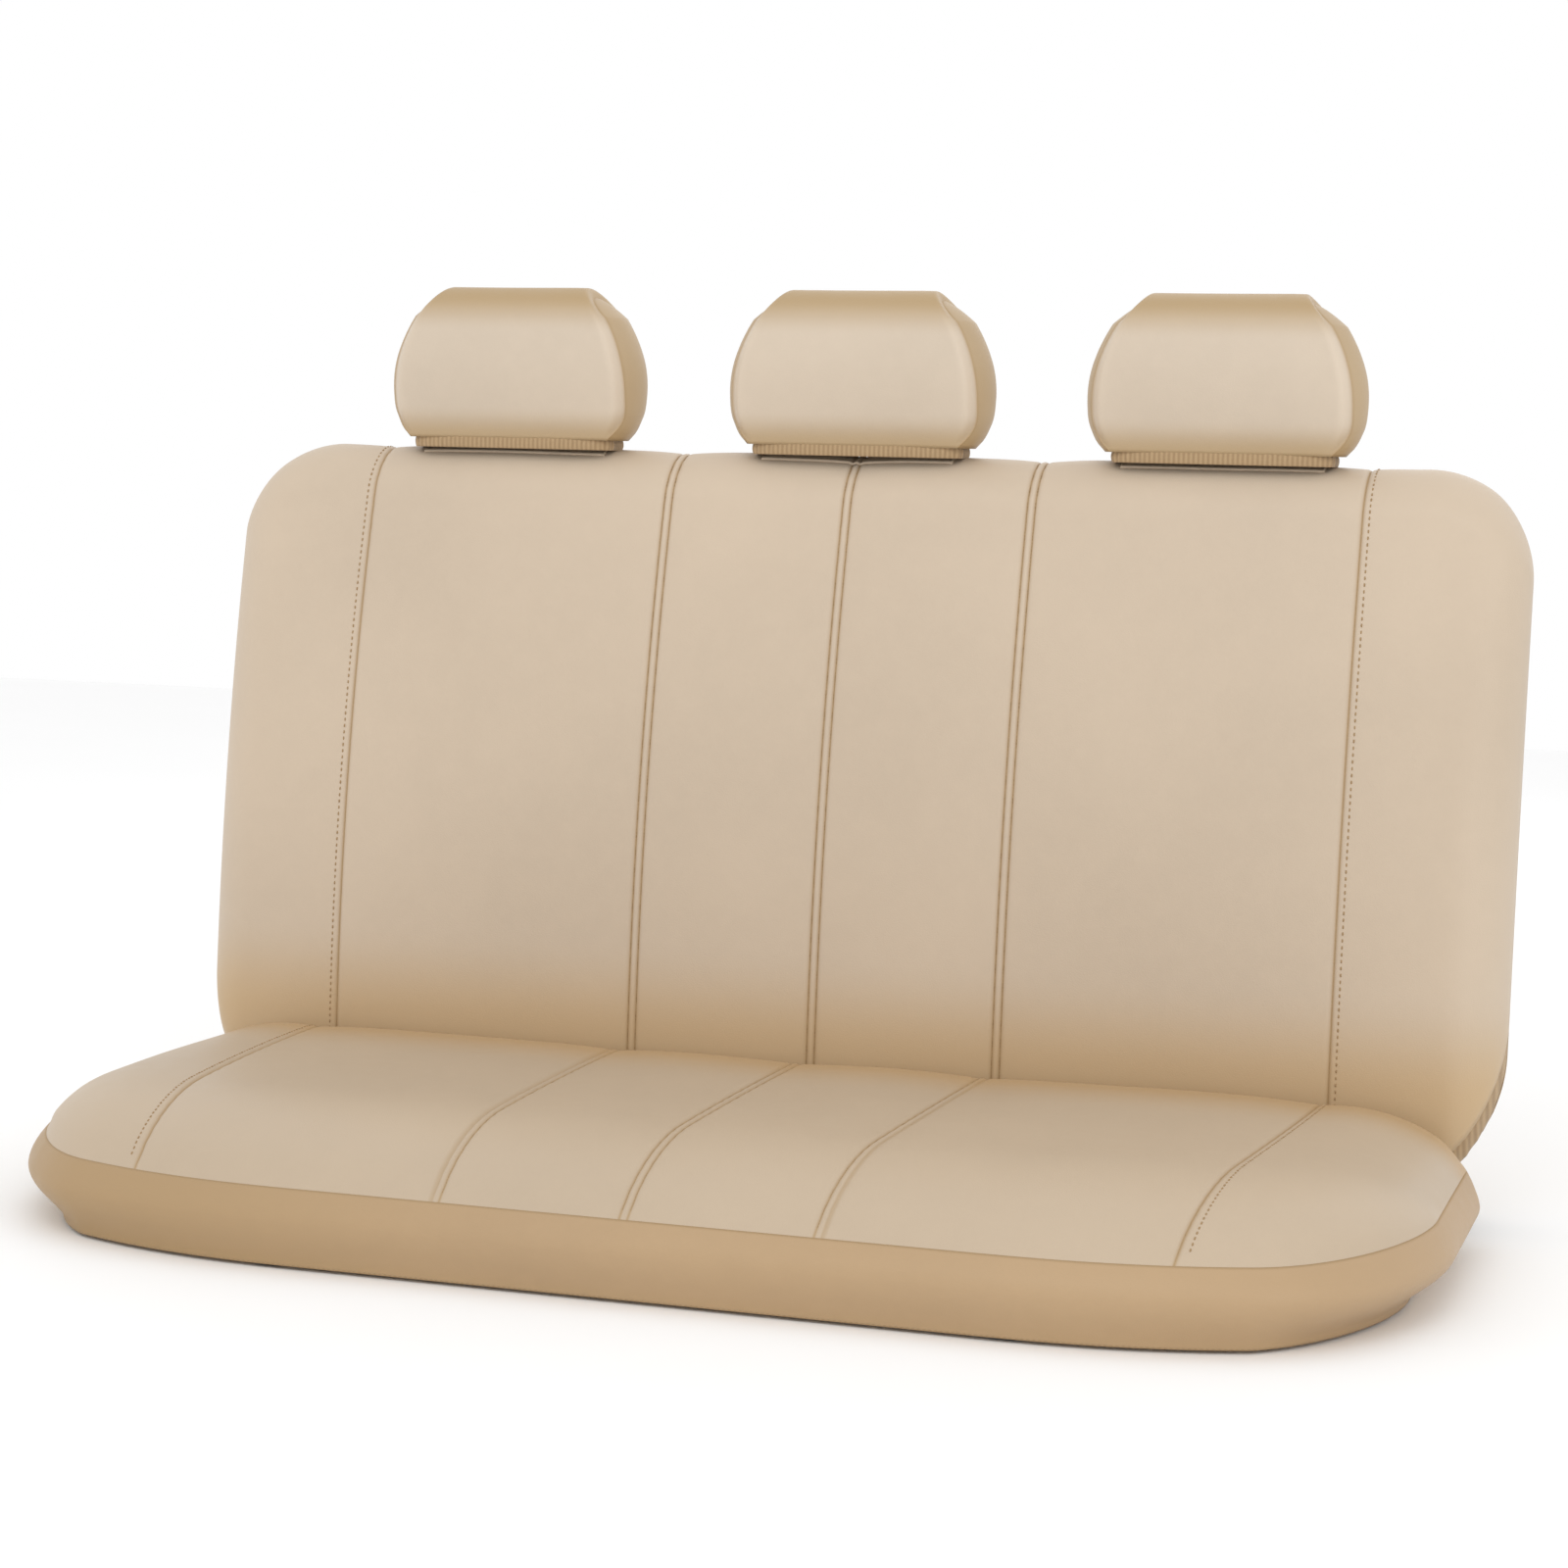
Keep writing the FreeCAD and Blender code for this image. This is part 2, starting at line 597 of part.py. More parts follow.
keep("cushion_rear_panel", common("SeatRear", seat_band, rear_band))
keep("cushion_boxing", cut("SeatBoxing", seat_band, rear_band))
SEAT_EDGE = "seat_half + past"
seat_seams = [
    ("cushion_bolster_left", f"-({SEAT_EDGE})", "-seam_bolster"),
    ("cushion_panel_left", "-seam_bolster", "-seam_split"),
    ("cushion_panel_centre_left", "-seam_split", "0"),
    ("cushion_panel_centre_right", "0", "seam_split"),
    ("cushion_panel_right", "seam_split", "seam_bolster"),
    ("cushion_bolster_right", "seam_bolster", SEAT_EDGE),
]
for node, low_x, high_x in seat_seams:
    keep(node, strip(node.title().replace("_", ""), seat_top, low_x, high_x))
hem_form = common(
    "SeatHemForm", seat_outer, block("SeatHemZone", (MID, MID, 0), (LONG, LONG, "seat_hem")))
keep("cushion_hem_elastic", cut(
    "SeatHem", hem_form, sweep(inset(seat_plan, "seat_hem_width"), Vector(0, 0, 1))))

# ---------------------------------------------------------------- straps under the cushion
webbing_low = "webbing_lift"
plug_y = "buckle_y + socket_length + plug_gap"


def webbing(name, x, low_y, high_y):
    """A flat run of webbing."""
    return block(
        name, (f"{x} - webbing_width / 2", low_y, webbing_low),
        ("webbing_width", f"({high_y}) - ({low_y})", "webbing_thick"))


def looped_webbing(node, x, low_y):
    """A run of webbing whose end is sewn back on itself round the socket's bar."""
    name = node.title().replace("_", "")
    run = webbing(name + "Run", x, low_y, "buckle_y - loop_length")
    loop_low = "buckle_y - loop_length"
    loop_deep = "loop_length + bar_width + loop_gap + webbing_thick"
    loop_tall = "buckle_height - 2 * webbing_lift"
    loop = block(
        name + "Loop", (f"{x} - webbing_width / 2", loop_low, webbing_low),
        ("webbing_width", loop_deep, loop_tall))
    eye = block(
        name + "Eye",
        (f"{x} - webbing_width", f"{loop_low} + webbing_thick", f"{webbing_low} + webbing_thick"),
        ("2 * webbing_width", f"{loop_deep} - 2 * webbing_thick",
         f"{loop_tall} - 2 * webbing_thick"))
    return keep(node, fuse(name, run, cut(name + "Ring", loop, eye)))


def buckle_socket(node, x):
    """A flat case, open at the rear, with side windows and a bar for the front webbing."""
    name = node.title().replace("_", "")
    body = doc.addObject("PartDesign::Body", name)
    half = "buckle_width / 2"
    case = body_sketch(body, name + "CaseSketch", "XY_Plane", points=rounded(
        half, 0, "socket_length", "grip_corner", "mating_corner"))
    pad(body, name + "Case", case, "buckle_height")
    cavity = body_sketch(body, name + "CavitySketch", "XY_Plane", points=[
        (f"socket_wall - {half}", "bar_width + bar_slot + socket_wall", 0),
        (f"{half} - socket_wall", "bar_width + bar_slot + socket_wall", 0),
        (f"{half} - socket_wall", "socket_length + through", 0),
        (f"socket_wall - {half}", "socket_length + through", 0),
    ])
    pocket(body, name + "Cavity", cavity, "buckle_height - 2 * socket_wall")
    mouth = "webbing_width / 2 + mouth_gap"
    slot = body_sketch(body, name + "SlotSketch", "XY_Plane", points=[
        (f"-({mouth})", "-through", 0),
        (mouth, "-through", 0),
        (mouth, "bar_width + bar_slot", 0),
        (f"-({mouth})", "bar_width + bar_slot", 0),
    ])
    pocket(body, name + "Slot", slot, "buckle_height + through")
    bar = body_sketch(body, name + "BarSketch", "XY_Plane", points=[
        (f"-({mouth}) - bar_root", 0, 0),
        (f"{mouth} + bar_root", 0, 0),
        (f"{mouth} + bar_root", "bar_width", 0),
        (f"-({mouth}) - bar_root", "bar_width", 0),
    ])
    pad(body, name + "Bar", bar, "bar_height")
    window = body_sketch(body, name + "WindowSketch", "YZ_Plane", points=[
        ("socket_length - window_start", "-prong_thick / 2 - slot_gap", 0),
        ("socket_length - window_end", "-prong_thick / 2 - slot_gap", 0),
        ("socket_length - window_end", "prong_thick / 2 + slot_gap", 0),
        ("socket_length - window_start", "prong_thick / 2 + slot_gap", 0),
    ])
    pocket(body, name + "Windows", window, "buckle_width + through")
    bind(body, "Placement.Base.x", x)
    bind(body, "Placement.Base.y", "buckle_y")
    bind(body, "Placement.Base.z", "buckle_height / 2")
    return keep(node, body)


def buckle_plug(node, x):
    """A block that the rear webbing runs through, with three prongs for the socket."""
    name = node.title().replace("_", "")
    body = doc.addObject("PartDesign::Body", name)
    half = "buckle_width / 2"
    grip = body_sketch(body, name + "GripSketch", "XY_Plane", points=rounded(
        half, 0, "plug_length", "mating_corner", "grip_corner"))
    pad(body, name + "Grip", grip, "buckle_height")
    reach = f"socket_wall + prong_gap - {half}"
    for index, low_x in enumerate((reach, "-prong_width / 2", f"-({reach}) - prong_width")):
        prong = body_sketch(body, f"{name}Prong{index}Sketch", "XY_Plane", points=[
            (low_x, "-prong_length", 0),
            (f"{low_x} + prong_width", "-prong_length", 0),
            (f"{low_x} + prong_width", "prong_root", 0),
            (low_x, "prong_root", 0),
        ])
        pad(body, f"{name}Prong{index}", prong, "prong_thick")
    webbing_middle = "webbing_lift + webbing_thick / 2 - buckle_height / 2"
    slot = body_sketch(body, name + "SlotSketch", "XZ_Plane", points=[
        ("-webbing_width / 2 - slot_gap", f"{webbing_middle} - webbing_thick / 2 - slot_gap", 0),
        ("webbing_width / 2 + slot_gap", f"{webbing_middle} - webbing_thick / 2 - slot_gap", 0),
        ("webbing_width / 2 + slot_gap", f"{webbing_middle} + webbing_thick / 2 + slot_gap", 0),
        ("-webbing_width / 2 - slot_gap", f"{webbing_middle} + webbing_thick / 2 + slot_gap", 0),
    ])
    pocket(body, name + "Slot", slot, "4 * plug_length")
    bind(body, "Placement.Base.x", x)
    bind(body, "Placement.Base.y", plug_y)
    bind(body, "Placement.Base.z", "buckle_height / 2")
    return keep(node, body)


for side, x in (("left", "-strap_x"), ("right", "strap_x")):
    looped_webbing(f"strap_{side}_front", x, "seat_reach + seat_hem_width")
    rear = webbing(f"Strap{side.title()}Rear", x, plug_y, "seat_rear - seat_hem_width")
    keep(f"strap_{side}_rear", rear)
    buckle_socket(f"buckle_{side}_socket", x)
    buckle_plug(f"buckle_{side}_plug", x)

# ---------------------------------------------------------------- checks and files
doc.recompute()
for thing in doc.Objects:
    if "Invalid" in thing.State or "Error" in thing.State:
        raise SystemExit(f"{thing.Name} failed: {thing.State}")
for node, thing in nodes.items():
    shape = thing.Shape
    if shape.isNull() or not shape.isValid() or not shape.Solids:
        raise SystemExit(f"{node} has no valid solid")

os.makedirs("parts", exist_ok=True)
whole = FreeCAD.BoundBox()
for node, thing in nodes.items():
    thing.Shape.exportStep(f"parts/{node}.step")
    whole.add(thing.Shape.BoundBox)
    print(f"{node:28s} solids {len(thing.Shape.Solids)}  volume {thing.Shape.Volume:12.1f}")
print(len(nodes), "nodes", whole)
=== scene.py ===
# %% [markdown]
# # A rear bench seat cover set
#
# The set is three kinds of cover: one for the bench's cushion, one for its backrest and three
# for its headrests. Each is cut from smooth leatherette, sewn along its seams and held by an
# elastic hem. This lesson makes every cut piece as a surface worked out with numpy, so that a
# learner can read the shape as a formula, and then dresses it with node materials.

import math

import bmesh
import bpy
import numpy as np
from mathutils import Matrix, Vector


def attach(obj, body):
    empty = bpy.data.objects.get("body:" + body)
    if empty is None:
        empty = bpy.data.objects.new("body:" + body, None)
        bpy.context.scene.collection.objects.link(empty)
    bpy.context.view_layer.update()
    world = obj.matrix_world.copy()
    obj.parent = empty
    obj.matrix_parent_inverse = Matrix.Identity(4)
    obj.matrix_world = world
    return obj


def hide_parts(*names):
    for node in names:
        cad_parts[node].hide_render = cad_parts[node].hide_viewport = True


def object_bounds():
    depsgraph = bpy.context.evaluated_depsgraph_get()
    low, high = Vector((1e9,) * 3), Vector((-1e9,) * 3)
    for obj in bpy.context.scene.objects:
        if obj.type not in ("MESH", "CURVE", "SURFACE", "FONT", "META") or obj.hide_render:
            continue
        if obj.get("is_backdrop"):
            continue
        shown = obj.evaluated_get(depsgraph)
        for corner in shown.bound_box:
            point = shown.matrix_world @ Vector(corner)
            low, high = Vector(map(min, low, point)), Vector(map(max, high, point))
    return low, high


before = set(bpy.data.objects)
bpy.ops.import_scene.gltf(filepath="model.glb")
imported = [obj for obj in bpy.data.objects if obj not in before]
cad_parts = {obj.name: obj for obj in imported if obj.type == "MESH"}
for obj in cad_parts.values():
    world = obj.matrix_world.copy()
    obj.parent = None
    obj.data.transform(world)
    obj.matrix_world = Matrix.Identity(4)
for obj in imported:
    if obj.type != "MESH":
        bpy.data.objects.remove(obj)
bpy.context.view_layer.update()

# %% [markdown]
# ## The camera
#
# A long lens keeps the bench's long edges nearly parallel. The camera is placed by three angles
# and a point: how far it stands to the side, how far it looks down, and a slight roll.

# %% Camera
LENS, SENSOR = 78.75, 36
AZIMUTH, PITCH, ROLL = math.radians(17.33), math.radians(5.49), math.radians(1.33)
CAMERA_PLACE = Vector((0.966, -3.012, 0.714))

camera = bpy.data.objects.new("camera", bpy.data.cameras.new("camera"))
bpy.context.scene.collection.objects.link(camera)
camera.data.lens = LENS
camera.data.sensor_width = SENSOR
look = Vector((
    -math.sin(AZIMUTH) * math.cos(PITCH),
    math.cos(AZIMUTH) * math.cos(PITCH),
    -math.sin(PITCH),
))
camera.location = CAMERA_PLACE
camera.rotation_mode = "QUATERNION"
tilt = Matrix.Rotation(-ROLL, 3, look)
camera.rotation_quaternion = tilt.to_quaternion() @ look.to_track_quat("-Z", "Y")
bpy.context.scene.camera = camera
print("camera looks along", [round(v, 3) for v in look])

# %% [markdown]
# ## Light and floor
#
# Leatherette is judged by its soft highlights, so the light is a few large panels and a pale
# surround, and never a small lamp.

# %% Studio
HALF_FLOOR, FLOOR_DROP = 6.0, 0.0005
LIT = Vector((0, 0, 0.4))


def soft_panel(name, place, size, power):
    """A square area light at place, facing the middle of the set."""
    light = bpy.data.lights.new(name, "AREA")
    light.size = size
    light.energy = power
    panel = bpy.data.objects.new(name, light)
    bpy.context.scene.collection.objects.link(panel)
    panel.location = place
    aim = LIT - Vector(place)
    panel.rotation_mode = "QUATERNION"
    panel.rotation_quaternion = aim.to_track_quat("-Z", "Y")


soft_panel("key", (0.4, -3.2, 3.4), 2.6, 26)
soft_panel("fill", (3.2, -2.4, 1.6), 2.4, 14)
soft_panel("left_fill", (-3.4, -1.6, 1.5), 2.4, 4)
soft_panel("rear", (0, 3.6, 2.6), 2.6, 10)

world = bpy.data.worlds.new("studio")
bpy.context.scene.world = world
world.use_nodes = True
backdrop = world.node_tree.nodes["Background"]
backdrop.inputs["Color"].default_value = (1.0, 1.0, 1.0, 1)
backdrop.inputs["Strength"].default_value = 1.0
bpy.context.scene.view_settings.view_transform = "Standard"

floor_mesh = bpy.data.meshes.new("floor")
floor_corners = [(side_x * HALF_FLOOR, side_y * HALF_FLOOR, -FLOOR_DROP)
                 for side_x, side_y in ((-1, -1), (1, -1), (1, 1), (-1, 1))]
floor_mesh.from_pydata(floor_corners, [], [(0, 1, 2, 3)])
floor = bpy.data.objects.new("floor", floor_mesh)
bpy.context.scene.collection.objects.link(floor)
floor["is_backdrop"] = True
print("panels", len(bpy.data.lights), "floor", HALF_FLOOR * 2)

# %% [markdown]
# ## Materials: sums on sockets
#
# A material is easier to read as arithmetic than as a web of nodes. `Wire` wraps one socket and
# gives it Python's operators; every operator adds the Math node that does it. Colours never go
# through a Math node, because that would turn them grey: they are mixed.

# %% Socket arithmetic
class Wire:
    """One value in a material, with the operators that the recipes use."""

    def __init__(self, recipe, socket):
        self.recipe = recipe
        self.socket = socket

    def math(self, operation, *others):
        """Adds the Math node that does an operation on this value and the others."""
        values = dict(enumerate((self, *others)))
        return self.recipe.node("ShaderNodeMath", {"operation": operation}, values)

    def __add__(self, other):
        return self.math("ADD", other)

    def __sub__(self, other):
        return self.math("SUBTRACT", other)

    def __mul__(self, other):
        return self.math("MULTIPLY", other)

    def clamp(self):
        """This value, cut to the stretch from 0 to 1."""
        return self.recipe.node("ShaderNodeClamp", {}, {"Value": self})

    __radd__ = __add__
    __rmul__ = __mul__


class Recipe:
    """A material under construction."""

    def __init__(self, name):
        self.material = bpy.data.materials.new(name)
        self.material.use_nodes = True
        self.nodes = self.material.node_tree.nodes
        self.links = self.material.node_tree.links
        self.shader = self.nodes["Principled BSDF"]

    def put(self, socket, value):
        """Links a wire to a socket, or sets the socket to a number or colour."""
        if isinstance(value, Wire):
            self.links.new(value.socket, socket)
        else:
            socket.default_value = value

    def node(self, kind, settings, inputs, output=0):
        """Adds a node: its settings first, then its sockets."""
        made = self.nodes.new(kind)
        for key, value in settings.items():
            setattr(made, key, value)
        for key, value in inputs.items():
            self.put(made.inputs[key], value)
        return Wire(self, made.outputs[output])

    def finish(self, **surface):
        """Sets the shader's sockets, written with underscores for spaces."""
        for key, value in surface.items():
            self.put(self.shader.inputs[key.replace("_", " ")], value)
        return self.material

    def place(self):
        """The point on the piece, in metres."""
        return self.node("ShaderNodeTexCoord", {}, {}, "Object")

    def cloth_place(self):
        """Across and along the cloth, in metres, from the piece's own UV map."""
        cloth = self.node("ShaderNodeUVMap", {"uv_map": "cloth"}, {})
        across = self.node("ShaderNodeSeparateXYZ", {}, {"Vector": cloth}, "X")
        return across, Wire(self, across.socket.node.outputs["Y"])

    def attribute(self, name):
        """A value stored on the mesh's points."""
        return self.node("ShaderNodeAttribute", {"attribute_name": name}, {}, "Fac")

    def noise(self, place, scale, detail=3.0, roughness=0.55):
        """Cloudy noise from 0 to 1; scale is in clouds to the metre."""
        return self.node(
            "ShaderNodeTexNoise", {},
            {"Vector": place, "Scale": scale, "Detail": detail, "Roughness": roughness})

    def mix(self, factor, first, second):
        """First colour at factor 0, second at factor 1."""
        return self.node(
            "ShaderNodeMix", {"data_type": "RGBA"}, {"Factor": factor, 6: first, 7: second}, 2)

    def spread(self, value, low, high, to_low=0.0, to_high=1.0):
        """Stretches the stretch low to high of a value to another range, and clips it."""
        return self.node(
            "ShaderNodeMapRange", {"clamp": True},
            {"Value": value, 1: low, 2: high, 3: to_low, 4: to_high})

    def bump(self, height, distance, strength):
        """Relief from a height of 0 to 1, which stands for a distance in metres."""
        return self.node(
            "ShaderNodeBump", {},
            {"Height": height, "Distance": distance, "Strength": strength})


def colour(red, green, blue):
    """A colour given as the eye reads it on a screen, 0 to 255, turned into linear light."""
    shares = np.array([red, green, blue]) / 255
    linear = np.where(shares <= 0.04045, shares / 12.92, ((shares + 0.055) / 1.055) ** 2.4)
    return (*[float(v) for v in linear], 1.0)


print("mid grey in linear light", round(colour(128, 128, 128)[0], 3))

# %% [markdown]
# ## Leatherette
#
# Leatherette is a knit backing with a foamed, embossed skin. Three things make it read as that:
# a fine pebble grain of about a millimetre, a satin gloss that is a little uneven, and seams
# that hold shadow. The mesh carries three numbers for this: `seam` is 1 in a seam's valley,
# where the colour is darkened as painted shade; `tuck` is painted shade, 1 where the cover
# disappears into a crease and on faces turned from the lamps; and `rub` is 1 on an edge that
# people slide over, which is polished there and made paler by a painted highlight.

# %% Leatherette
def leatherette(name, face, deep, seam_shade, roughness=0.46):
    """Smooth embossed leatherette from its face colour and the painted shade of its creases and
    seams.
    """
    recipe = Recipe(name)
    place = recipe.place()
    clouds = recipe.noise(place, 3.2, 4.0, 0.5)
    mottle = recipe.noise(place, 46.0, 5.0, 0.62)
    tuck = recipe.attribute("tuck")
    seam = recipe.attribute("seam")
    rub = recipe.attribute("rub")
    pale = tuple(min(1.0, v * 1.09 + 0.012) for v in face[:3]) + (1.0,)
    dull = tuple(v * 0.93 for v in face[:3]) + (1.0,)
    tone = recipe.mix(recipe.spread(clouds, 0.35, 0.65), dull, face)
    tone = recipe.mix(recipe.spread(mottle, 0.4, 0.75) * 0.16, tone, pale)
    # Painted highlight: paler along the edges that the rub number marks; below, the same number
    # also polishes the gloss.
    tone = recipe.mix((rub * 0.55).clamp(), tone, pale)
    # Painted shade: the deep colour is mixed in where the mesh asks for shade.
    tone = recipe.mix(tuck.clamp(), tone, deep)
    # Painted shade in the seams' valleys.
    tone = recipe.mix((seam * 0.9).clamp(), tone, seam_shade)
    pebbles = recipe.node(
        "ShaderNodeTexVoronoi", {"feature": "SMOOTH_F1"},
        {"Vector": place, "Scale": 780.0, "Smoothness": 0.35, "Randomness": 0.9})
    pores = recipe.noise(place, 1900.0, 2.0)
    grain = pebbles * 0.7 + pores * 0.3
    worn = recipe.spread(mottle, 0.3, 0.7, -0.035, 0.045)
    gloss = (worn + roughness + seam * 0.16 - rub * 0.06 + pebbles * 0.04).clamp()
    return recipe.finish(
        Base_Color=tone,
        Roughness=gloss,
        Normal=recipe.bump(grain, 0.00022, 0.55),
        Specular_IOR_Level=0.42,
        Coat_Weight=0.06,
        Coat_Roughness=0.35,
    )


# The colour of the painted shade in seam valleys, on leatherette and knit alike.
SEAM_SHADE_COLOUR = colour(166, 137, 97)
# One leatherette in four copies whose face colours differ to stand in for the light each cover
# gets: lighter on the headrests and darkest, as painted shade, on the boxing. The second colour of
# each is the painted shade of its creases.
skin_tones = {
    "back": ((200, 182, 160), (193, 166, 129)),
    "seat": ((188, 169, 145), (184, 155, 117)),
    "boxing": ((179, 150, 114), (165, 136, 96)),
    "headrest": ((206, 190, 170), (172, 144, 101)),
}
skins = {
    cover: leatherette(f"leatherette_{cover}", colour(*face), colour(*deep), SEAM_SHADE_COLOUR)
    for cover, (face, deep) in skin_tones.items()
}
print("leatherettes", sorted(skins))

# %% [markdown]
# ## Cloth, thread, metal and plastic
#
# The rear of the cover is a warp knit that stretches, so its rows are drawn from the piece's own
# UV map, which is measured in metres of cloth. Thread, webbing and zip tape are the same idea
# with other pitches.

# %% Other materials
def knit(name, face, deep, rows=620.0, columns=520.0):
    """A fine warp knit: columns of loops that lean left and right in turn."""
    recipe = Recipe(name)
    across, along = recipe.cloth_place()
    across = across * (math.tau * columns)
    along = along * (math.tau * rows)
    rib = across.math("SINE") * 0.5 + 0.5
    loops = (along + across.math("SINE") * 1.2).math("SINE") * 0.5 + 0.5
    height = rib * 0.6 + loops * 0.4
    clouds = recipe.noise(recipe.place(), 9.0, 4.0)
    tone = recipe.mix(height.clamp(), deep, face)
    tone = recipe.mix(recipe.spread(clouds, 0.3, 0.7, 0.0, 0.35), tone, deep)
    shade = (recipe.attribute("seam") * 0.8).clamp()
    return recipe.finish(
        Base_Color=recipe.mix(shade, tone, SEAM_SHADE_COLOUR),
        Roughness=height * -0.1 + 0.9,
        Normal=recipe.bump(height, 0.0004, 0.6),
        Sheen_Weight=0.25,
        Sheen_Roughness=0.5,
    )


def woven(name, face, deep, pitch, ribs=0.0):
    """A plain weave of threads at a pitch in metres, with lengthwise ribs where asked."""
    recipe = Recipe(name)
    across, along = recipe.cloth_place()
    check = (across * (math.tau / pitch)).math("SINE") * (along * (math.tau / pitch)).math("SINE")
    check = check * 0.5 + 0.5
    rib = (across * (math.tau / (pitch * 4))).math("SINE") * 0.5 + 0.5
    height = check * (1 - ribs) + rib * ribs
    fuzz = recipe.noise(recipe.place(), 420.0, 4.0)
    tone = recipe.mix((height * 0.75 + fuzz * 0.25).clamp(), deep, face)
    return recipe.finish(
        Base_Color=tone,
        Roughness=fuzz * 0.1 + 0.75,
        Normal=recipe.bump(height, pitch * 0.25, 0.7),
        Sheen_Weight=0.2,
        Sheen_Roughness=0.5,
    )


def thread(name, face, deep):
    """Bonded polyester sewing thread, twisted every 0.7 mm."""
    recipe = Recipe(name)
    twist = recipe.noise(recipe.place(), 1400.0, 2.0)
    return recipe.finish(
        Base_Color=recipe.mix(recipe.spread(twist, 0.3, 0.7), deep, face),
        Roughness=twist * 0.2 + 0.45,
        Normal=recipe.bump(twist, 0.0002, 0.5),
        Sheen_Weight=0.1,
    )


def metal(name, face, dark):
    """Plated zinc, brushed by use, with darker stains."""
    recipe = Recipe(name)
    place = recipe.place()
    stain = recipe.noise(place, 160.0, 5.0)
    scratch = recipe.noise(
        recipe.node("ShaderNodeVectorMath", {"operation": "MULTIPLY"},
                    {0: place, 1: (400.0, 400.0, 3000.0)}), 1.0, 3.0)
    return recipe.finish(
        Base_Color=recipe.mix(recipe.spread(stain, 0.35, 0.65), dark, face),
        Metallic=1.0,
        Roughness=scratch * 0.25 + stain * 0.1 + 0.18,
        Normal=recipe.bump(scratch, 0.00005, 0.4),
    )


def moulded(name, face):
    """Moulded acetal with a fine spark-eroded texture."""
    recipe = Recipe(name)
    place = recipe.place()
    spark = recipe.noise(place, 2600.0, 2.0)
    wear = recipe.noise(place, 120.0, 4.0)
    lighter = tuple(v * 1.8 + 0.01 for v in face[:3]) + (1.0,)
    return recipe.finish(
        Base_Color=recipe.mix(recipe.spread(wear, 0.5, 0.8, 0.0, 0.5), face, lighter),
        Roughness=spark * 0.18 + 0.38,
        Normal=recipe.bump(spark, 0.00008, 0.5),
    )


def studio_floor(name):
    """Pale painted floor with the faintest unevenness."""
    recipe = Recipe(name)
    haze = recipe.noise(recipe.place(), 1.5, 3.0)
    return recipe.finish(
        Base_Color=recipe.mix(haze, (0.95, 0.95, 0.95, 1), (0.97, 0.97, 0.97, 1)),
        Roughness=haze * 0.1 + 0.6,
    )


cloths = {
    "knit": knit("rear_knit", colour(196, 172, 138), colour(158, 132, 98)),
    "hem": woven("hem_elastic", colour(188, 160, 122), colour(140, 112, 78), 0.0012, 0.6),
    "tape": woven("zip_tape_cloth", colour(190, 162, 124), colour(150, 122, 86), 0.0007),
    "webbing": woven("strap_webbing", colour(58, 54, 50), colour(16, 15, 14), 0.0016, 0.35),
    "thread": thread("topstitch_thread", colour(168, 138, 96), colour(146, 116, 78)),
    "coil": moulded("zip_coil", colour(176, 146, 106)),
    "brass": metal("zip_brass", colour(196, 170, 120), colour(120, 96, 62)),
    "plastic": moulded("buckle_acetal", colour(30, 30, 31)),
}
floor.data.materials.append(studio_floor("floor_paint"))
print("cloths and trims", sorted(cloths))

# %% [markdown]
# ## From a grid to a piece
#
# Every cut piece is a grid of points. `grid` works out the quads between them all at once and
# stores the numbers that the materials read. `sew` joins several grids into one cut piece and
# merges their shared points. Thickness comes from Solidify, which grows the cloth inwards.

# %% Grids
CLOTH, KNIT = 0.0032, 0.0016
MERGE = 1e-6


def between(low, high, count):
    """Numbers from low to high that crowd towards both ends, where the seams are:
    low + (high - low) * (1 - cos(pi t)) / 2 for t from 0 to 1."""
    share = np.linspace(0, 1, count)
    return low + (high - low) * (1 - np.cos(np.pi * share)) / 2


def grid(points, uv, wrap=False, **marks):
    """The quads of a grid of points (rows, columns, 3), wound so that rows x columns faces out.
    With wrap, the last column joins the first."""
    rows, columns = points.shape[:2]
    index = np.arange(rows * columns).reshape(rows, columns)
    if wrap:
        index = np.concatenate([index, index[:, :1]], axis=1)
    quads = np.stack([index[:-1, :-1], index[:-1, 1:], index[1:, 1:], index[1:, :-1]], -1)
    flat = {key: np.broadcast_to(value, (rows, columns)).ravel() for key, value in marks.items()}
    return points.reshape(-1, 3), quads.reshape(-1, 4), uv.reshape(-1, 2), flat


def sew(*patches):
    """Several grids as one list of points, quads, UVs and marks."""
    shift, points, quads, uvs, marks = 0, [], [], [], {}
    for patch_points, patch_quads, patch_uv, patch_marks in patches:
        points.append(patch_points)
        quads.append(patch_quads + shift)
        uvs.append(patch_uv)
        for key in ("seam", "tuck", "rub"):
            marks.setdefault(key, []).append(
                patch_marks.get(key, np.zeros(len(patch_points))))
        shift += len(patch_points)
    joined = {key: np.concatenate(value) for key, value in marks.items()}
    return np.concatenate(points), np.concatenate(quads), np.concatenate(uvs), joined


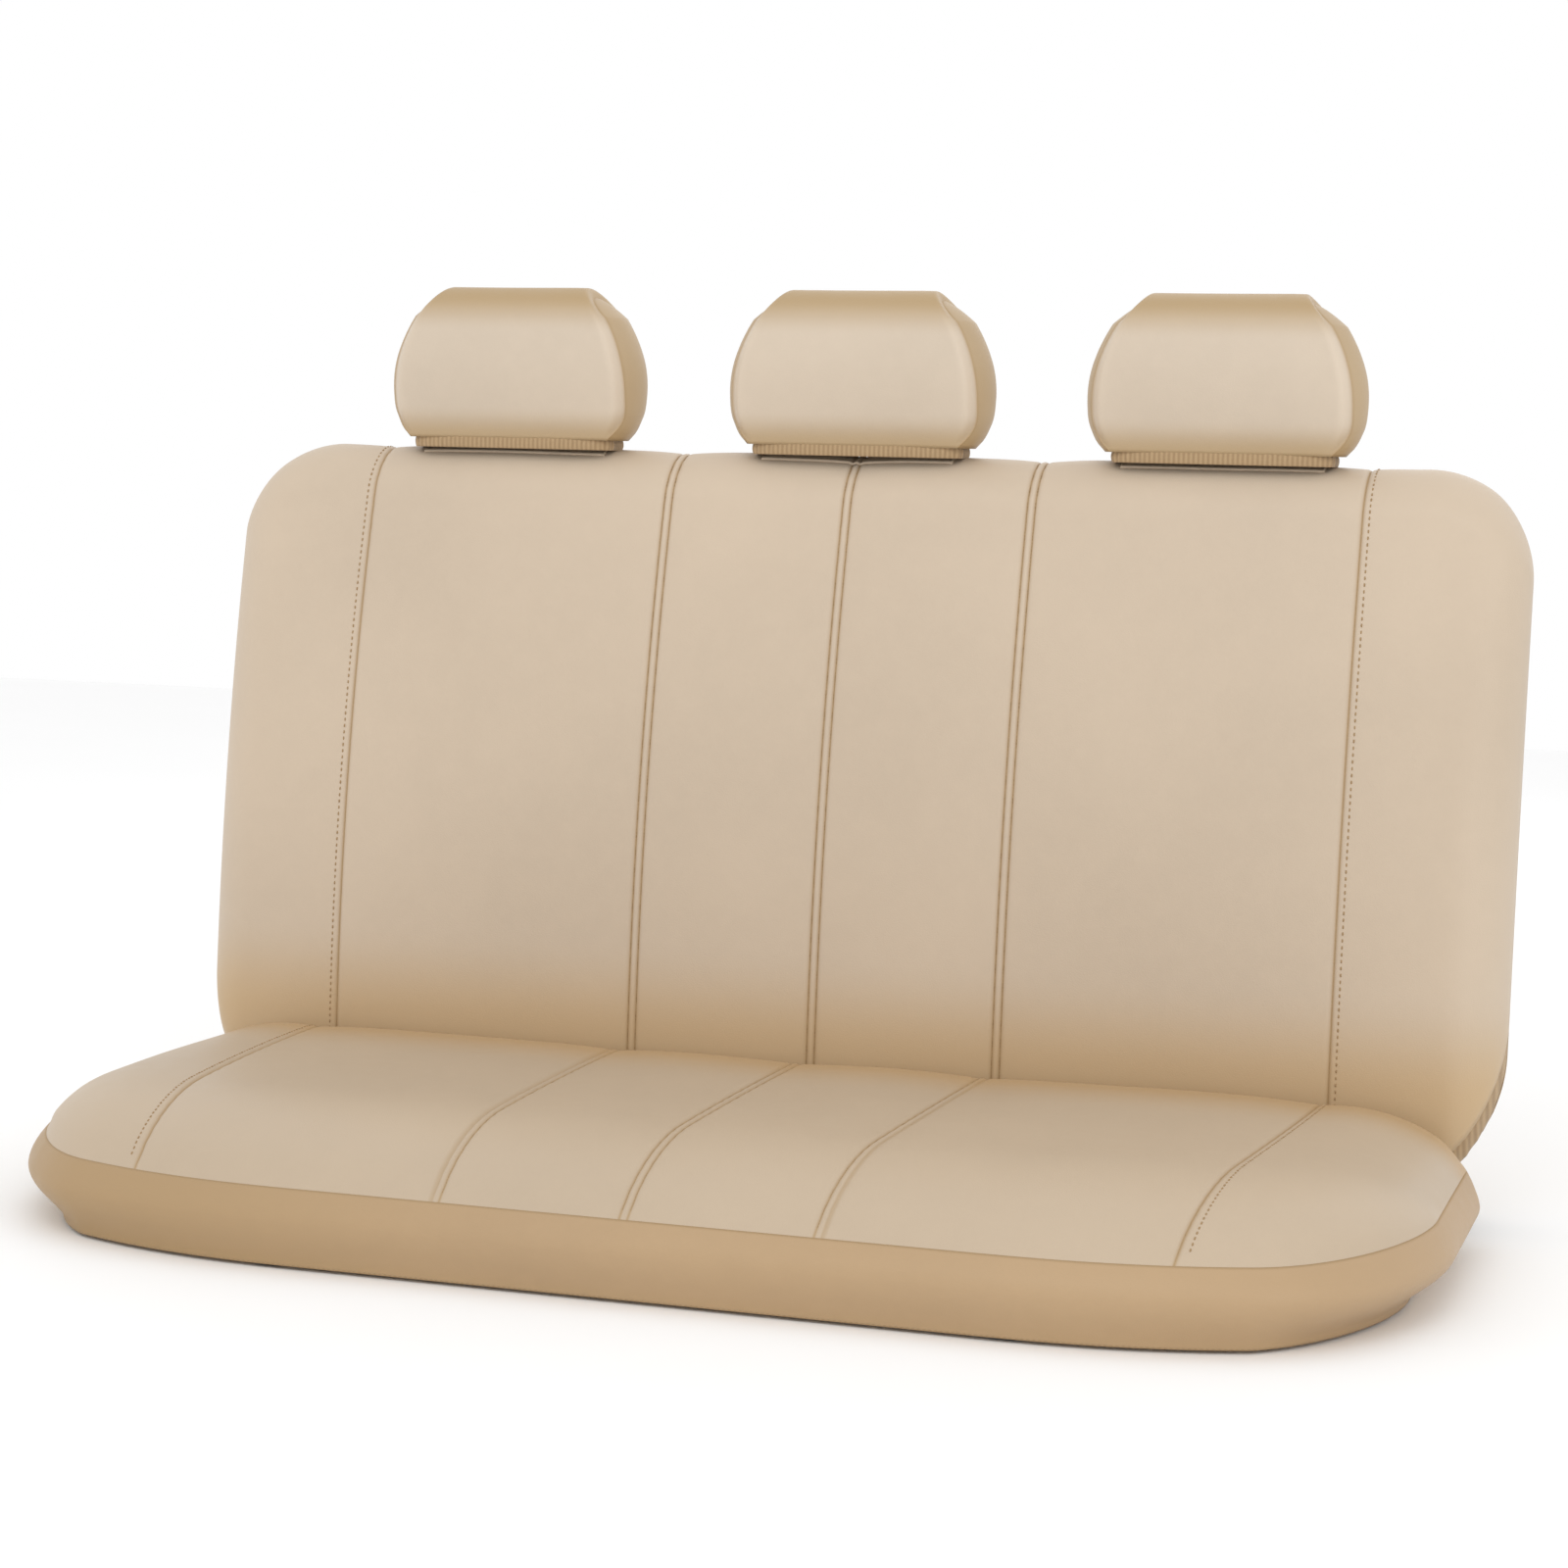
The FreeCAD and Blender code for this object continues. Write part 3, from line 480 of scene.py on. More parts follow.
def make(name, patch, material, body, node=None, thickness=CLOTH):
    """A finished piece from a sewn patch, riding on its body. A piece with a thickness is cloth,
    so it gets its wall, and its area is worked out."""
    points, quads, uvs, marks = patch
    mesh = bpy.data.meshes.new(name)
    mesh.from_pydata(points.tolist(), [], quads.tolist())
    layer = mesh.uv_layers.new(name="cloth")
    loops = np.empty(len(mesh.loops), dtype=np.int32)
    mesh.loops.foreach_get("vertex_index", loops)
    layer.data.foreach_set("uv", uvs[loops].astype(np.float32).ravel())
    for key, values in marks.items():
        stored = mesh.attributes.new(key, "FLOAT", "POINT")
        stored.data.foreach_set("value", values.astype(np.float32))
    piece = bpy.data.objects.new(name, mesh)
    bpy.context.scene.collection.objects.link(piece)
    tidy(mesh)
    mesh.polygons.foreach_set("use_smooth", np.full(len(mesh.polygons), True))
    mesh.materials.append(material)
    if thickness:
        wall = piece.modifiers.new("thickness", "SOLIDIFY")
        wall.thickness = thickness
        wall.offset = -1
    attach(piece, body)
    if node:
        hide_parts(node)
    if thickness:
        area = quad_area(points, quads)
    return piece


def quad_area(points, quads):
    """Total area: half the length of the cross product of each quad's diagonals."""
    corner = points[quads]
    cross = np.cross(corner[:, 2] - corner[:, 0], corner[:, 3] - corner[:, 1])
    return float(np.linalg.norm(cross, axis=1).sum() / 2)


def tidy(mesh):
    """Merges points that coincide, and removes quads that have closed up."""
    work = bmesh.new()
    work.from_mesh(mesh)
    bmesh.ops.remove_doubles(work, verts=work.verts, dist=MERGE)
    bmesh.ops.dissolve_degenerate(work, edges=work.edges, dist=MERGE / 10)
    work.to_mesh(mesh)
    work.free()


def smoothstep(value, low, high):
    """0 below low, 1 above high, and 3t^2 - 2t^3 between them."""
    share = np.clip((value - low) / (high - low), 0, 1)
    return share * share * (3 - 2 * share)


def valley(distance, width):
    """1 on a line and falling to nothing beside it: exp(-(distance / width)^2)."""
    return np.exp(-((distance / width) ** 2))


def raised(surface, first, second, height, step=1e-4):
    """Points of a surface moved along its normal by a height. The normal is the cross product
    of the surface's two slopes, taken by stepping each parameter both ways."""
    along_first = surface(first + step, second) - surface(first - step, second)
    along_second = surface(first, second + step) - surface(first, second - step)
    normal = np.cross(along_first, along_second)
    length = np.linalg.norm(normal, axis=-1, keepdims=True)
    normal = np.where(length > 1e-14, normal / np.maximum(length, 1e-14), 0)
    return surface(first, second) + normal * height[..., None]


def ripple(first, second, seed, waves=7):
    """A gentle uneven surface from -1 to 1: a sum of sine waves in seeded directions."""
    random = np.random.default_rng(seed)
    total = np.zeros(np.broadcast(first, second).shape)
    for _ in range(waves):
        turn, phase = random.uniform(0, math.tau, 2)
        pace = random.uniform(5, 16)
        total = total + np.sin(pace * (first * np.cos(turn) + second * np.sin(turn)) * 2 + phase)
    return total / waves


print("halfway up a smooth step", smoothstep(np.array(0.5), 0, 1))

# %% [markdown]
# ## The backrest cover
#
# The backrest is a long pillow that leans back. For each place x across it, a loop runs from the
# front hem up the face, over the top and down the rear. The loop gets lower at the round corners
# and thinner towards the sides, so that front and rear meet in one soft side edge.

# %% Backrest form
HALF = 0.670
BACK_TOP = 0.712
TOP_CORNER = 0.105
FOOT_CORNER = 0.170
SIDE_ROUND = 0.056
CAP = 0.046
FACE_FOOT, FACE_TOP, FACE_HEIGHT, FACE_RADIUS = 0.190, 0.278, 0.693, 2.300
REAR_FOOT, REAR_TOP, REAR_HEIGHT = 0.293, 0.362, 0.665
HEM_SHARE = 0.040
HEM_NARROWING, HEM_RISE = 0.42, 0.045
REAR_SEAM = 2.055
SIDE_SEAM = HALF - 0.026


def face_y(z):
    """The front face's y at a height: a shallow arc of a circle through foot and shoulder."""
    chord = math.hypot(FACE_TOP - FACE_FOOT, FACE_HEIGHT)
    lean = math.atan2(FACE_TOP - FACE_FOOT, FACE_HEIGHT)
    across = math.sqrt(FACE_RADIUS**2 - chord**2 / 4)
    middle_y = (FACE_FOOT + FACE_TOP) / 2 + across * math.cos(lean)
    middle_z = FACE_HEIGHT / 2 - across * math.sin(lean)
    return middle_y - np.sqrt(FACE_RADIUS**2 - (z - middle_z) ** 2)


def rear_y(z):
    """The rear face's y at a height: a straight line."""
    return REAR_FOOT + (REAR_TOP - REAR_FOOT) * z / REAR_HEIGHT


def back_surface(x, turn):
    """A point of the backrest. turn runs 0 to 1 up the front, 1 to 2 over the top along half an
    ellipse, and 2 to 3 down the rear. fullness = sqrt(1 - (1 - d / r)^2) thins the pillow
    within r of its side."""
    x = np.clip(x, -HALF, HALF)
    inward = np.clip((HALF - np.abs(x)) / SIDE_ROUND, 0, 1)
    fullness = np.sqrt(np.clip(1 - (1 - inward) ** 2, 0, 1))
    past_top = np.clip(np.abs(x) - (HALF - TOP_CORNER), 0, TOP_CORNER)
    past_foot = np.clip(np.abs(x) - (HALF - FOOT_CORNER), 0, FOOT_CORNER)
    top = BACK_TOP - TOP_CORNER + np.sqrt(TOP_CORNER**2 - past_top**2)
    low = FOOT_CORNER - np.sqrt(FOOT_CORNER**2 - past_foot**2)
    cap = CAP * fullness
    straight = top - cap - low
    over = np.clip(turn - 1, 0, 1) * np.pi
    z = np.where(
        turn <= 1, low + turn * straight,
        np.where(turn < 2, top - cap + cap * np.sin(over), low + (3 - turn) * straight))
    side = np.where(turn <= 1, -1.0, np.where(turn < 2, -np.cos(over), 1.0))
    tuck_in = 1 - HEM_NARROWING * (1 - np.clip((z - low) / HEM_RISE, 0, 1)) ** 2
    middle = (face_y(z) + rear_y(z)) / 2
    half_depth = (rear_y(z) - face_y(z)) / 2 * fullness * tuck_in
    return np.stack([x + 0 * z, middle + side * half_depth, z], -1)


print("backrest middle at half height", back_surface(np.array(0.0), np.array(0.5)).round(3))

# %% [markdown]
# ## Backrest seams
#
# Two plain seams with a row of topstitching set off the bolsters. Between them, three narrow
# flaps, each held by a twin row of stitches, hide the zips that let parts of the seat fold.
# Every seam pulls the cloth into a small valley, and the foam behind the leatherette lifts it
# between the seams.

# %% Backrest seams and puff
BOLSTER, SPLIT, FLAP = 0.511, 0.188, 0.004
SPLITS = {"left": -SPLIT, "centre": 0.0, "right": SPLIT}
SEAMS = np.sort([-BOLSTER, BOLSTER] + [x + edge for x in SPLITS.values() for edge in (-FLAP, FLAP)])
SEAM_WIDTH, FOLD_WIDTH, PUCKER_WIDTH = 0.0013, 0.0020, 0.012
PUCKER = 0.00025
BACK_SWELL, BACK_UNEVEN, BACK_FOLD = 0.0032, 0.0011, 0.0016
# Painted shade darkens the backrest's face below CREASE_Z, fading in over CREASE_FADE.
CREASE_Z, CREASE_FADE = 0.226, 0.10


def seam_gap(x):
    """Distance to the nearest seam. The cushion's seams carry on the backrest's."""
    return np.abs(np.asarray(x)[..., None] - SEAMS).min(-1)


def back_height(x, turn):
    """How far the padded cloth stands off the form: a seam valley, a swell between seams and
    a slight unevenness."""
    gap = seam_gap(x)
    inward = np.clip((HALF - np.abs(x)) / SIDE_ROUND, 0, 1)
    swell = BACK_SWELL * (1 - np.exp(-gap / 0.035))
    pucker = PUCKER * np.sin(turn * 230) * valley(gap, PUCKER_WIDTH)
    uneven = BACK_UNEVEN * ripple(x, turn * 0.7, 11) * smoothstep(gap, 0.0, 0.05)
    fold = BACK_FOLD * valley(gap, FOLD_WIDTH)
    return (swell + pucker + uneven - fold) * smoothstep(inward, 0.0, 0.8)


def back_marks(x, turn):
    """Seam shadow, painted shade towards the crease, and rub with a painted highlight over the top,
    of the backrest's leatherette.
    """
    z = back_surface(x, turn)[..., 2]
    front = smoothstep(1.3 - turn, 0, 0.6)
    return {
        # Painted shade in the seams and low on the face towards the crease; a painted highlight,
        # with polish, where the face turns over the top.
        "seam": valley(seam_gap(x), SEAM_WIDTH) * (turn < REAR_SEAM),
        "tuck": smoothstep(CREASE_Z - z, 0.0, CREASE_FADE) * front,
        "rub": valley(turn - 1.35, 0.25) * 0.5,
    }


def back_patch(xs, turns):
    """One grid of the backrest between seams."""
    x, turn = np.meshgrid(xs, turns)
    points = raised(back_surface, x, turn, back_height(x, turn))
    cloth = np.stack([x, turn * 0.7], -1)
    return grid(points, cloth, **back_marks(x, turn))


print("seams at", SEAMS.round(3))

# %% [markdown]
# ## Backrest panels
#
# The rows of every panel are at the same turns, so that neighbours share their seam's points.
# They crowd together over the top, where the form bends most. A bolster is two grids: one over
# the front and the top, and a narrow one round the side to the knit.

# %% Backrest panels
FRONT_TURNS = np.concatenate([
    np.linspace(HEM_SHARE, 0.9, 64), np.linspace(0.9, 1, 12)[1:],
    np.linspace(1, 2, 29)[1:], np.linspace(2, REAR_SEAM, 5)[1:]])
REAR_TURNS = np.concatenate([
    np.linspace(REAR_SEAM, 2.15, 8), np.linspace(2.15, 3 - HEM_SHARE, 60)[1:]])
back_cuts = [
    ("back_panel_left", -BOLSTER, -SPLIT - FLAP, 44),
    ("split_flap_left", -SPLIT - FLAP, -SPLIT + FLAP, 9),
    ("back_panel_centre_left", -SPLIT + FLAP, -FLAP, 34),
    ("split_flap_centre", -FLAP, FLAP, 9),
    ("back_panel_centre_right", FLAP, SPLIT - FLAP, 34),
    ("split_flap_right", SPLIT - FLAP, SPLIT + FLAP, 9),
    ("back_panel_right", SPLIT + FLAP, BOLSTER, 44),
]
for node, low, high, count in back_cuts:
    slot = "leatherette_trim" if "flap" in node else "leatherette_back"
    make(node + "_cloth", back_patch(between(low, high, count), FRONT_TURNS),
         skins["back"], "backrest_cover", node)
for side, sign in (("left", -1), ("right", 1)):
    outer = sign * between(BOLSTER, HALF, 48)
    wrapped = sign * (HALF - (HALF - SIDE_SEAM) * np.linspace(1, 0, 14) ** 2)
    if sign < 0:
        outer, wrapped = outer[::-1], wrapped[::-1]
    make(f"back_bolster_{side}_cloth",
         sew(back_patch(outer, FRONT_TURNS), back_patch(wrapped, REAR_TURNS)),
         skins["back"], "backrest_cover", f"back_bolster_{side}")
print("backrest panels", len(back_cuts) + 2)

# %% [markdown]
# ## The knit rear and the elastic hem
#
# Nobody sees the back of a bench, so makers use a cheap stretch knit there, which also lets the
# cover fit many seats. The hem is a folded band with elastic inside: let go, it gathers into
# small even waves.

# %% Backrest rear and hem
TAPE = 0.012
HEM_HEIGHT, HEM_WALL = 0.026, 0.0022
HEM_WAVE, HEM_WAVE_LONG, HEM_LOWEST = 0.0009, 0.0095, 0.0016
KNIT_SLACK = 0.0022
rear_cuts = [
    ("rear_panel_left", -SIDE_SEAM, -SPLIT - TAPE, 50),
    ("rear_panel_centre_left", -SPLIT + TAPE, -TAPE, 30),
    ("rear_panel_centre_right", TAPE, SPLIT - TAPE, 30),
    ("rear_panel_right", SPLIT + TAPE, SIDE_SEAM, 50),
]


def knit_height(x, turn):
    """Knit hangs a little slacker than leatherette: broad waves that die out at its edges."""
    inward = np.clip((HALF - np.abs(x)) / SIDE_ROUND, 0, 1)
    edges = smoothstep(turn, REAR_SEAM, 2.2) * smoothstep(3 - HEM_SHARE - turn, 0, 0.15)
    zips = smoothstep(np.abs(np.abs(x) - SPLIT), TAPE, 0.06) * smoothstep(np.abs(x), TAPE, 0.06)
    return -KNIT_SLACK * (0.5 + 0.5 * ripple(x * 0.8, turn * 0.6, 5)) * edges * zips * inward


def rear_patch(xs, turns):
    """One grid of the knit rear."""
    x, turn = np.meshgrid(xs, turns)
    points = raised(back_surface, x, turn, knit_height(x, turn))
    z = points[..., 2]
    # The seam number paints shade along the knit's top seam.
    return grid(points, np.stack([x, z], -1), seam=valley(z - z.max(), 0.004))


for node, low, high, count in rear_cuts:
    make(node + "_cloth", rear_patch(between(low, high, count), REAR_TURNS),
         cloths["knit"], "backrest_cover", node, thickness=KNIT)


def back_hem_patch(turns):
    """The hem's band: the form's own edge, with waves 9.5 mm long that fade at its upper seam.
    Its columns crowd towards the sides, beyond `even`."""
    even = 0.56
    edge = HALF - (HALF - even) * (1 - np.sin(np.linspace(0, np.pi / 2, 40)))
    xs = np.concatenate([-edge[::-1], np.linspace(-even, even, 340)[1:-1], edge])
    x, turn = np.meshgrid(xs, turns)
    share = np.abs(turn - np.where(turn < 1.5, HEM_SHARE, 3 - HEM_SHARE)) / HEM_SHARE
    wave = HEM_WAVE * np.sin(x * math.tau / HEM_WAVE_LONG) * smoothstep(share, 0.0, 0.6)
    inward = np.clip((HALF - np.abs(x)) / SIDE_ROUND, 0, 1)
    height = (wave + 0.0006 * np.sin(share * np.pi)) * smoothstep(inward, 0, 0.8)
    points = raised(back_surface, x, turn, height)
    points[..., 2] = np.maximum(points[..., 2], HEM_LOWEST)
    return grid(points, np.stack([x, share * HEM_HEIGHT], -1))


make("back_hem_cloth",
     sew(back_hem_patch(np.linspace(0, HEM_SHARE, 9)),
         back_hem_patch(np.linspace(3 - HEM_SHARE, 3, 9))),
     cloths["hem"], "backrest_cover", "back_hem_elastic",
     thickness=HEM_WALL)
print("rear panels", len(rear_cuts))

# %% [markdown]
# ## The cushion cover
#
# Seen from above the cushion is a rectangle whose corners are quarter ellipses, and whose front
# bends back towards its ends. A number r says how near a point is to the edge: 0 inside, 1 on the
# outline. The top rolls down towards the edge like the side of an ellipse and stops at the seam,
# where r is a little under 1.

# %% Cushion form
SEAT_HALF = 0.662
SEAT_FRONT, SEAT_REAR = -0.360, 0.181
ROLL_FRONT, ROLL_SIDE, ROLL_REAR = 0.175, 0.135, 0.050
DROP_FRONT, DROP_REAR = 0.088, 0.030
BOW, BOW_FROM = 0.105, 0.300
SEAM_ANGLE = math.radians(64)
SEAM_R = math.sin(SEAM_ANGLE)
SEAT_HIGH = 0.119
SEAT_CROWN = 0.006


def seat_front(x):
    """The front outline's y: straight in the middle and drawn back towards the ends."""
    outer = np.clip((np.abs(x) - BOW_FROM) / (SEAT_HALF - BOW_FROM), 0, 1)
    return SEAT_FRONT + BOW * outer**2.4


def seat_top_z(x, y):
    """Height of the cushion's top: a low crown, less the roll towards the edge,
    drop * (1 - sqrt(1 - r^2))."""
    sideways = np.clip(1 - (SEAT_HALF - np.abs(x)) / ROLL_SIDE, 0, 1)
    forward = np.clip(1 - (y - seat_front(x)) / ROLL_FRONT, 0, 1)
    backward = np.clip(1 - (SEAT_REAR - y) / ROLL_REAR, 0, 1)
    r_squared = np.clip(sideways**2 + forward**2 + backward**2, 0, 1)
    share = backward**2 / np.maximum(r_squared, 1e-9)
    drop = DROP_FRONT * (1 - share) + DROP_REAR * share
    crown = SEAT_CROWN * (1 - (y / SEAT_FRONT) ** 2)
    return SEAT_HIGH + crown - drop * (1 - np.sqrt(1 - r_squared))


SEAT_EDGE = SEAT_HALF - (1 - SEAM_R) * ROLL_SIDE


def seat_limits(x):
    """Front and rear ends of the top at x, where r reaches the seam's value."""
    sideways = np.clip(1 - (SEAT_HALF - np.abs(x)) / ROLL_SIDE, 0, SEAM_R)
    left_over = np.sqrt(np.clip(SEAM_R**2 - sideways**2, 0, 1))
    return seat_front(x) + (1 - left_over) * ROLL_FRONT, SEAT_REAR - (1 - left_over) * ROLL_REAR


TAPER = 0.045


def seat_point(across, forward):
    """A point of the cushion's top. across is the place at the rear edge; forward runs 0 to 1
    from the crease to the front seam. The seams draw together a little as they come forward."""
    across = np.clip(across, -SEAT_EDGE, SEAT_EDGE)
    inner = across / BOLSTER
    outer = np.sign(across) * (SEAT_EDGE - np.abs(across)) / (SEAT_EDGE - BOLSTER)
    drawn_in = TAPER * np.maximum(forward, 0) ** 1.5
    x = across - drawn_in * np.where(np.abs(across) < BOLSTER, inner, outer)
    front, rear = seat_limits(x)
    y = rear + (front - rear) * forward
    return np.stack([x, y, seat_top_z(x, y)], -1)


def seat_surface(across, back):
    """The same point with its second number counted back from the front seam. Taken this way
    round, the surface's normal points up."""
    return seat_point(across, 1 - back)


print("cushion seam height at the front", seat_point(np.array(0.0), np.array(1.0)).round(3))

# %% [markdown]
# ## Cushion panels
#
# The six panels of the top meet at the bolster seams and at the three splits. They swell and dip
# as the backrest's do, and end level at the seam that joins them to the boxing.

# %% Cushion panels
SEAT_DEPTH = 0.52
SEAT_SWELL, SEAT_UNEVEN, SEAT_FOLD = 0.0035, 0.0016, 0.0015


def seat_height(across, forward):
    """Swell between seams, the seam valleys and a slight unevenness. The outer edge is level."""
    gap = seam_gap(across)
    rim = smoothstep(1 - forward, 0, 0.06) * smoothstep(forward, 0, 0.06)
    rim = rim * smoothstep(SEAT_EDGE - np.abs(across), 0, 0.03)
    swell = SEAT_SWELL * (1 - np.exp(-gap / 0.04))
    uneven = SEAT_UNEVEN * ripple(across, forward * 0.5, 23) * smoothstep(gap, 0, 0.06)
    fold = SEAT_FOLD * valley(gap, FOLD_WIDTH)
    pucker = PUCKER * np.sin(forward * 170) * valley(gap, PUCKER_WIDTH)
    relief = (swell + uneven) * rim - (fold + pucker) * smoothstep(1 - forward, 0, 0.02)
    return relief * (forward > 0)


def seat_patch(low, high, count):
    """One grid of the cushion's top."""
    across, forward = np.meshgrid(between(low, high, count), between(0, 1, 72)[::-1])
    height = seat_height(across, forward)
    points = raised(seat_surface, across, 1 - forward, height)
    # Painted shade towards the crease at the rear and in the seams; along the front roll the rub
    # number polishes the gloss and paints a highlight.
    tuck = 1.3 * smoothstep(0.34 - forward, 0, 0.32) ** 1.4
    seam = valley(seam_gap(across), SEAM_WIDTH)
    rub = valley(forward - 0.86, 0.12) * 0.6
    cloth = np.stack([across, forward * SEAT_DEPTH], -1)
    return grid(points, cloth, seam=seam, tuck=tuck, rub=rub)


seat_cuts = [
    ("cushion_bolster_left", -SEAT_EDGE, -BOLSTER, 44),
    ("cushion_panel_left", -BOLSTER, -SPLIT, 50),
    ("cushion_panel_centre_left", -SPLIT, 0.0, 44),
    ("cushion_panel_centre_right", 0.0, SPLIT, 44),
    ("cushion_panel_right", SPLIT, BOLSTER, 50),
    ("cushion_bolster_right", BOLSTER, SEAT_EDGE, 44),
]
for node, low, high, count in seat_cuts:
    make(node + "_cloth", seat_patch(low, high, count), skins["seat"],
         "cushion_cover", node)
print("cushion panels", len(seat_cuts))

# %% [markdown]
# ## The boxing
#
# The boxing is the band that gives the cushion its thickness. It is one strip, led round the left
# end, the front and the right end. Its path is the top's own edge, and its profile leaves the
# seam at the top's slope, swells and turns under at the hem.

# %% Boxing path
def seat_rim(angle_count=40, front_count=120, side_count=30):
    """The seam's path round the cushion, from the rear left corner round the front and back
    along the rear, with the outward direction at each point."""
    turn = np.linspace(0, np.pi / 2, angle_count)

    def corner(side, end, roll):
        sideways, lengthways = SEAM_R * np.cos(turn), SEAM_R * np.sin(turn)
        x = side * (SEAT_HALF - (1 - sideways) * ROLL_SIDE)
        y = end - np.sign(end) * (1 - lengthways) * roll
        y = y + (seat_front(x) - SEAT_FRONT) * (end < 0)
        return np.stack([x, y], -1)

    front_left = corner(-1, SEAT_FRONT, ROLL_FRONT)
    front_right = corner(1, SEAT_FRONT, ROLL_FRONT)[::-1]
    rear_right = corner(1, SEAT_REAR, ROLL_REAR)
    rear_left = corner(-1, SEAT_REAR, ROLL_REAR)[::-1]

    def straight(start, end, count):
        return start + (end - start) * np.linspace(0, 1, count)[1:-1, None]

    def along_front(start, end, count):
        x = straight(start, end, count)[:, 0]
        return np.stack([x, seat_limits(x)[0]], -1)

    loop = np.concatenate([
        front_left, along_front(front_left[-1], front_right[0], front_count),
        front_right, straight(front_right[-1], rear_right[0], side_count),
        rear_right, straight(rear_right[-1], rear_left[0], front_count),
        rear_left, straight(rear_left[-1], front_left[0], side_count)])
    step = np.roll(loop, -1, 0) - np.roll(loop, 1, 0)
    out = np.stack([step[:, 1], -step[:, 0]], -1)
    out /= np.linalg.norm(out, axis=1, keepdims=True)
    return loop, out


RIM, RIM_OUT = seat_rim()
RIM_Z = seat_top_z(RIM[:, 0], RIM[:, 1])
RIM_STEP = np.diff(RIM, axis=0, prepend=RIM[:1])
print("boxing path points", len(RIM), "seam heights", RIM_Z.min().round(3), RIM_Z.max().round(3))

# %% [markdown]
# ## The boxing's band and the rear panel
#
# One function makes both: near the rear its swell dies out, because the knit panel there lies
# flat in the crease. Rows run from the seam down to the hem, and are turned round at the end so
# that the band faces outwards.

# %% Boxing band
HEM_SEAM_Z = 0.0028
BEND_FROM, BEND_TO = 0.10, 0.175
BOXING_CUT = 0.1
BOXING_SWELL, FULLEST = 0.0165, 0.42
FRONT_DRAWN, END_DRAWN = 0.010, 0.028

def boxing_profile(share, direction):
    """Offset outwards at a share of the way down: the band swells to 16 mm about a third of
    the way down. It comes back to 7 mm at the front hem, and is drawn in further at the ends."""
    swell = BOXING_SWELL * np.sin(np.clip(share / FULLEST, 0, 1) * np.pi / 2) ** 0.9
    drawn = FRONT_DRAWN + END_DRAWN * np.abs(direction[..., 0]) ** 1.5
    return swell - drawn * smoothstep(share, 0.36, 1.0) ** 1.3


def boxing_patch(start, stop, shares):
    """A grid of the boxing between two places on the rim."""
    index = np.arange(start, stop) % len(RIM)
    share = shares[:, None]
    path = RIM[index][None]
    direction = RIM_OUT[index][None]
    out, left = boxing_profile(share, direction), 1 - share
    rear = smoothstep(path[..., 1], BEND_FROM, BEND_TO)
    out = out * (1 - rear) + 0.003 * np.sin(share * np.pi) * rear
    place = path + direction * out[..., None]
    height = RIM_Z[index][None] * left + HEM_SEAM_Z * (1 - left)
    points = np.concatenate([place, height[..., None]], -1)
    length = np.cumsum(np.linalg.norm(np.diff(RIM[index], axis=0, prepend=RIM[index][:1]), axis=1))
    uneven = 0.0010 * ripple(length[None] * 0.7, share * 0.12, 31) * np.sin(share * np.pi)
    points[..., :2] += direction * uneven[..., None]
    cloth = np.stack(np.broadcast_arrays(length[None], -share * BOXING_CUT), -1)
    # Painted shade at the top seam, towards the rear, near the hem and over the left end; the rub
    # number paints a highlight, with polish, along the rounded ends a third of the way down.
    seam = valley(share, 0.012) * 0.8
    tuck = smoothstep(path[..., 1], 0.05, 0.18) * 0.7 + 0.25 * smoothstep(share, 0.8, 1.0)
    tuck = tuck + 0.75 * smoothstep(-path[..., 0], 0.05, 0.55)
    rub = valley(share - 0.33, 0.16) * 0.3 * smoothstep(np.abs(path[..., 0]), 0.5, 0.62)
    return grid(points[::-1], cloth[::-1], seam=seam[::-1], tuck=tuck[::-1], rub=rub[::-1])


rear_start = int(np.argmax(RIM[:, 1] > SEAT_REAR - ROLL_REAR * 0.9))
rear_stop = len(RIM) - int(np.argmax(RIM[::-1, 1] > SEAT_REAR - ROLL_REAR * 0.9))
SHARES = np.linspace(0, 1, 34)
make("cushion_boxing_cloth", boxing_patch(rear_stop - 1 - len(RIM), rear_start + 1, SHARES),
     skins["boxing"], "cushion_cover", "cushion_boxing")
make("cushion_rear_cloth", boxing_patch(rear_start, rear_stop, SHARES),
     cloths["knit"], "cushion_cover", "cushion_rear_panel", thickness=KNIT)
print("boxing rows", len(SHARES))

# %% [markdown]
# ## The cushion's hem
#
# Under the cushion the boxing ends in an elastic hem that turns inwards all round. It follows
# the boxing's lower edge, and its waves are a little longer than the backrest hem's.

# %% Cushion hem
UNDER, UNDER_WALL, UNDER_Z = 0.028, 0.0010, 0.0019
UNDER_WAVE, UNDER_WAVE_LONG = 0.0008, 0.011


def seat_hem_patch():
    """The hem turns under the boxing and reaches 28 mm inwards, gathered by its elastic."""
    share = np.linspace(0, 1, 12)[:, None]
    rear = smoothstep(RIM[:, 1], BEND_FROM, BEND_TO)
    out = (boxing_profile(np.array(1.0), RIM_OUT) * (1 - rear))[None]
    length = np.cumsum(np.linalg.norm(RIM_STEP, axis=1))
    place = RIM[None] + RIM_OUT[None] * (out - UNDER * share)[..., None]
    wave = UNDER_WAVE * np.sin(length * math.tau / UNDER_WAVE_LONG)[None]
    wave = wave * smoothstep(share, 0.1, 0.9)
    height = HEM_SEAM_Z * (1 - share) ** 2 + UNDER_Z + wave
    points = np.concatenate([place, np.broadcast_to(height[..., None], place.shape[:2] + (1,))], -1)
    cloth = np.stack(np.broadcast_arrays(length[None], share * UNDER), -1)
    return grid(points, cloth, wrap=True)


make("cushion_hem_cloth", seat_hem_patch(), cloths["hem"], "cushion_cover",
     "cushion_hem_elastic", thickness=UNDER_WALL)

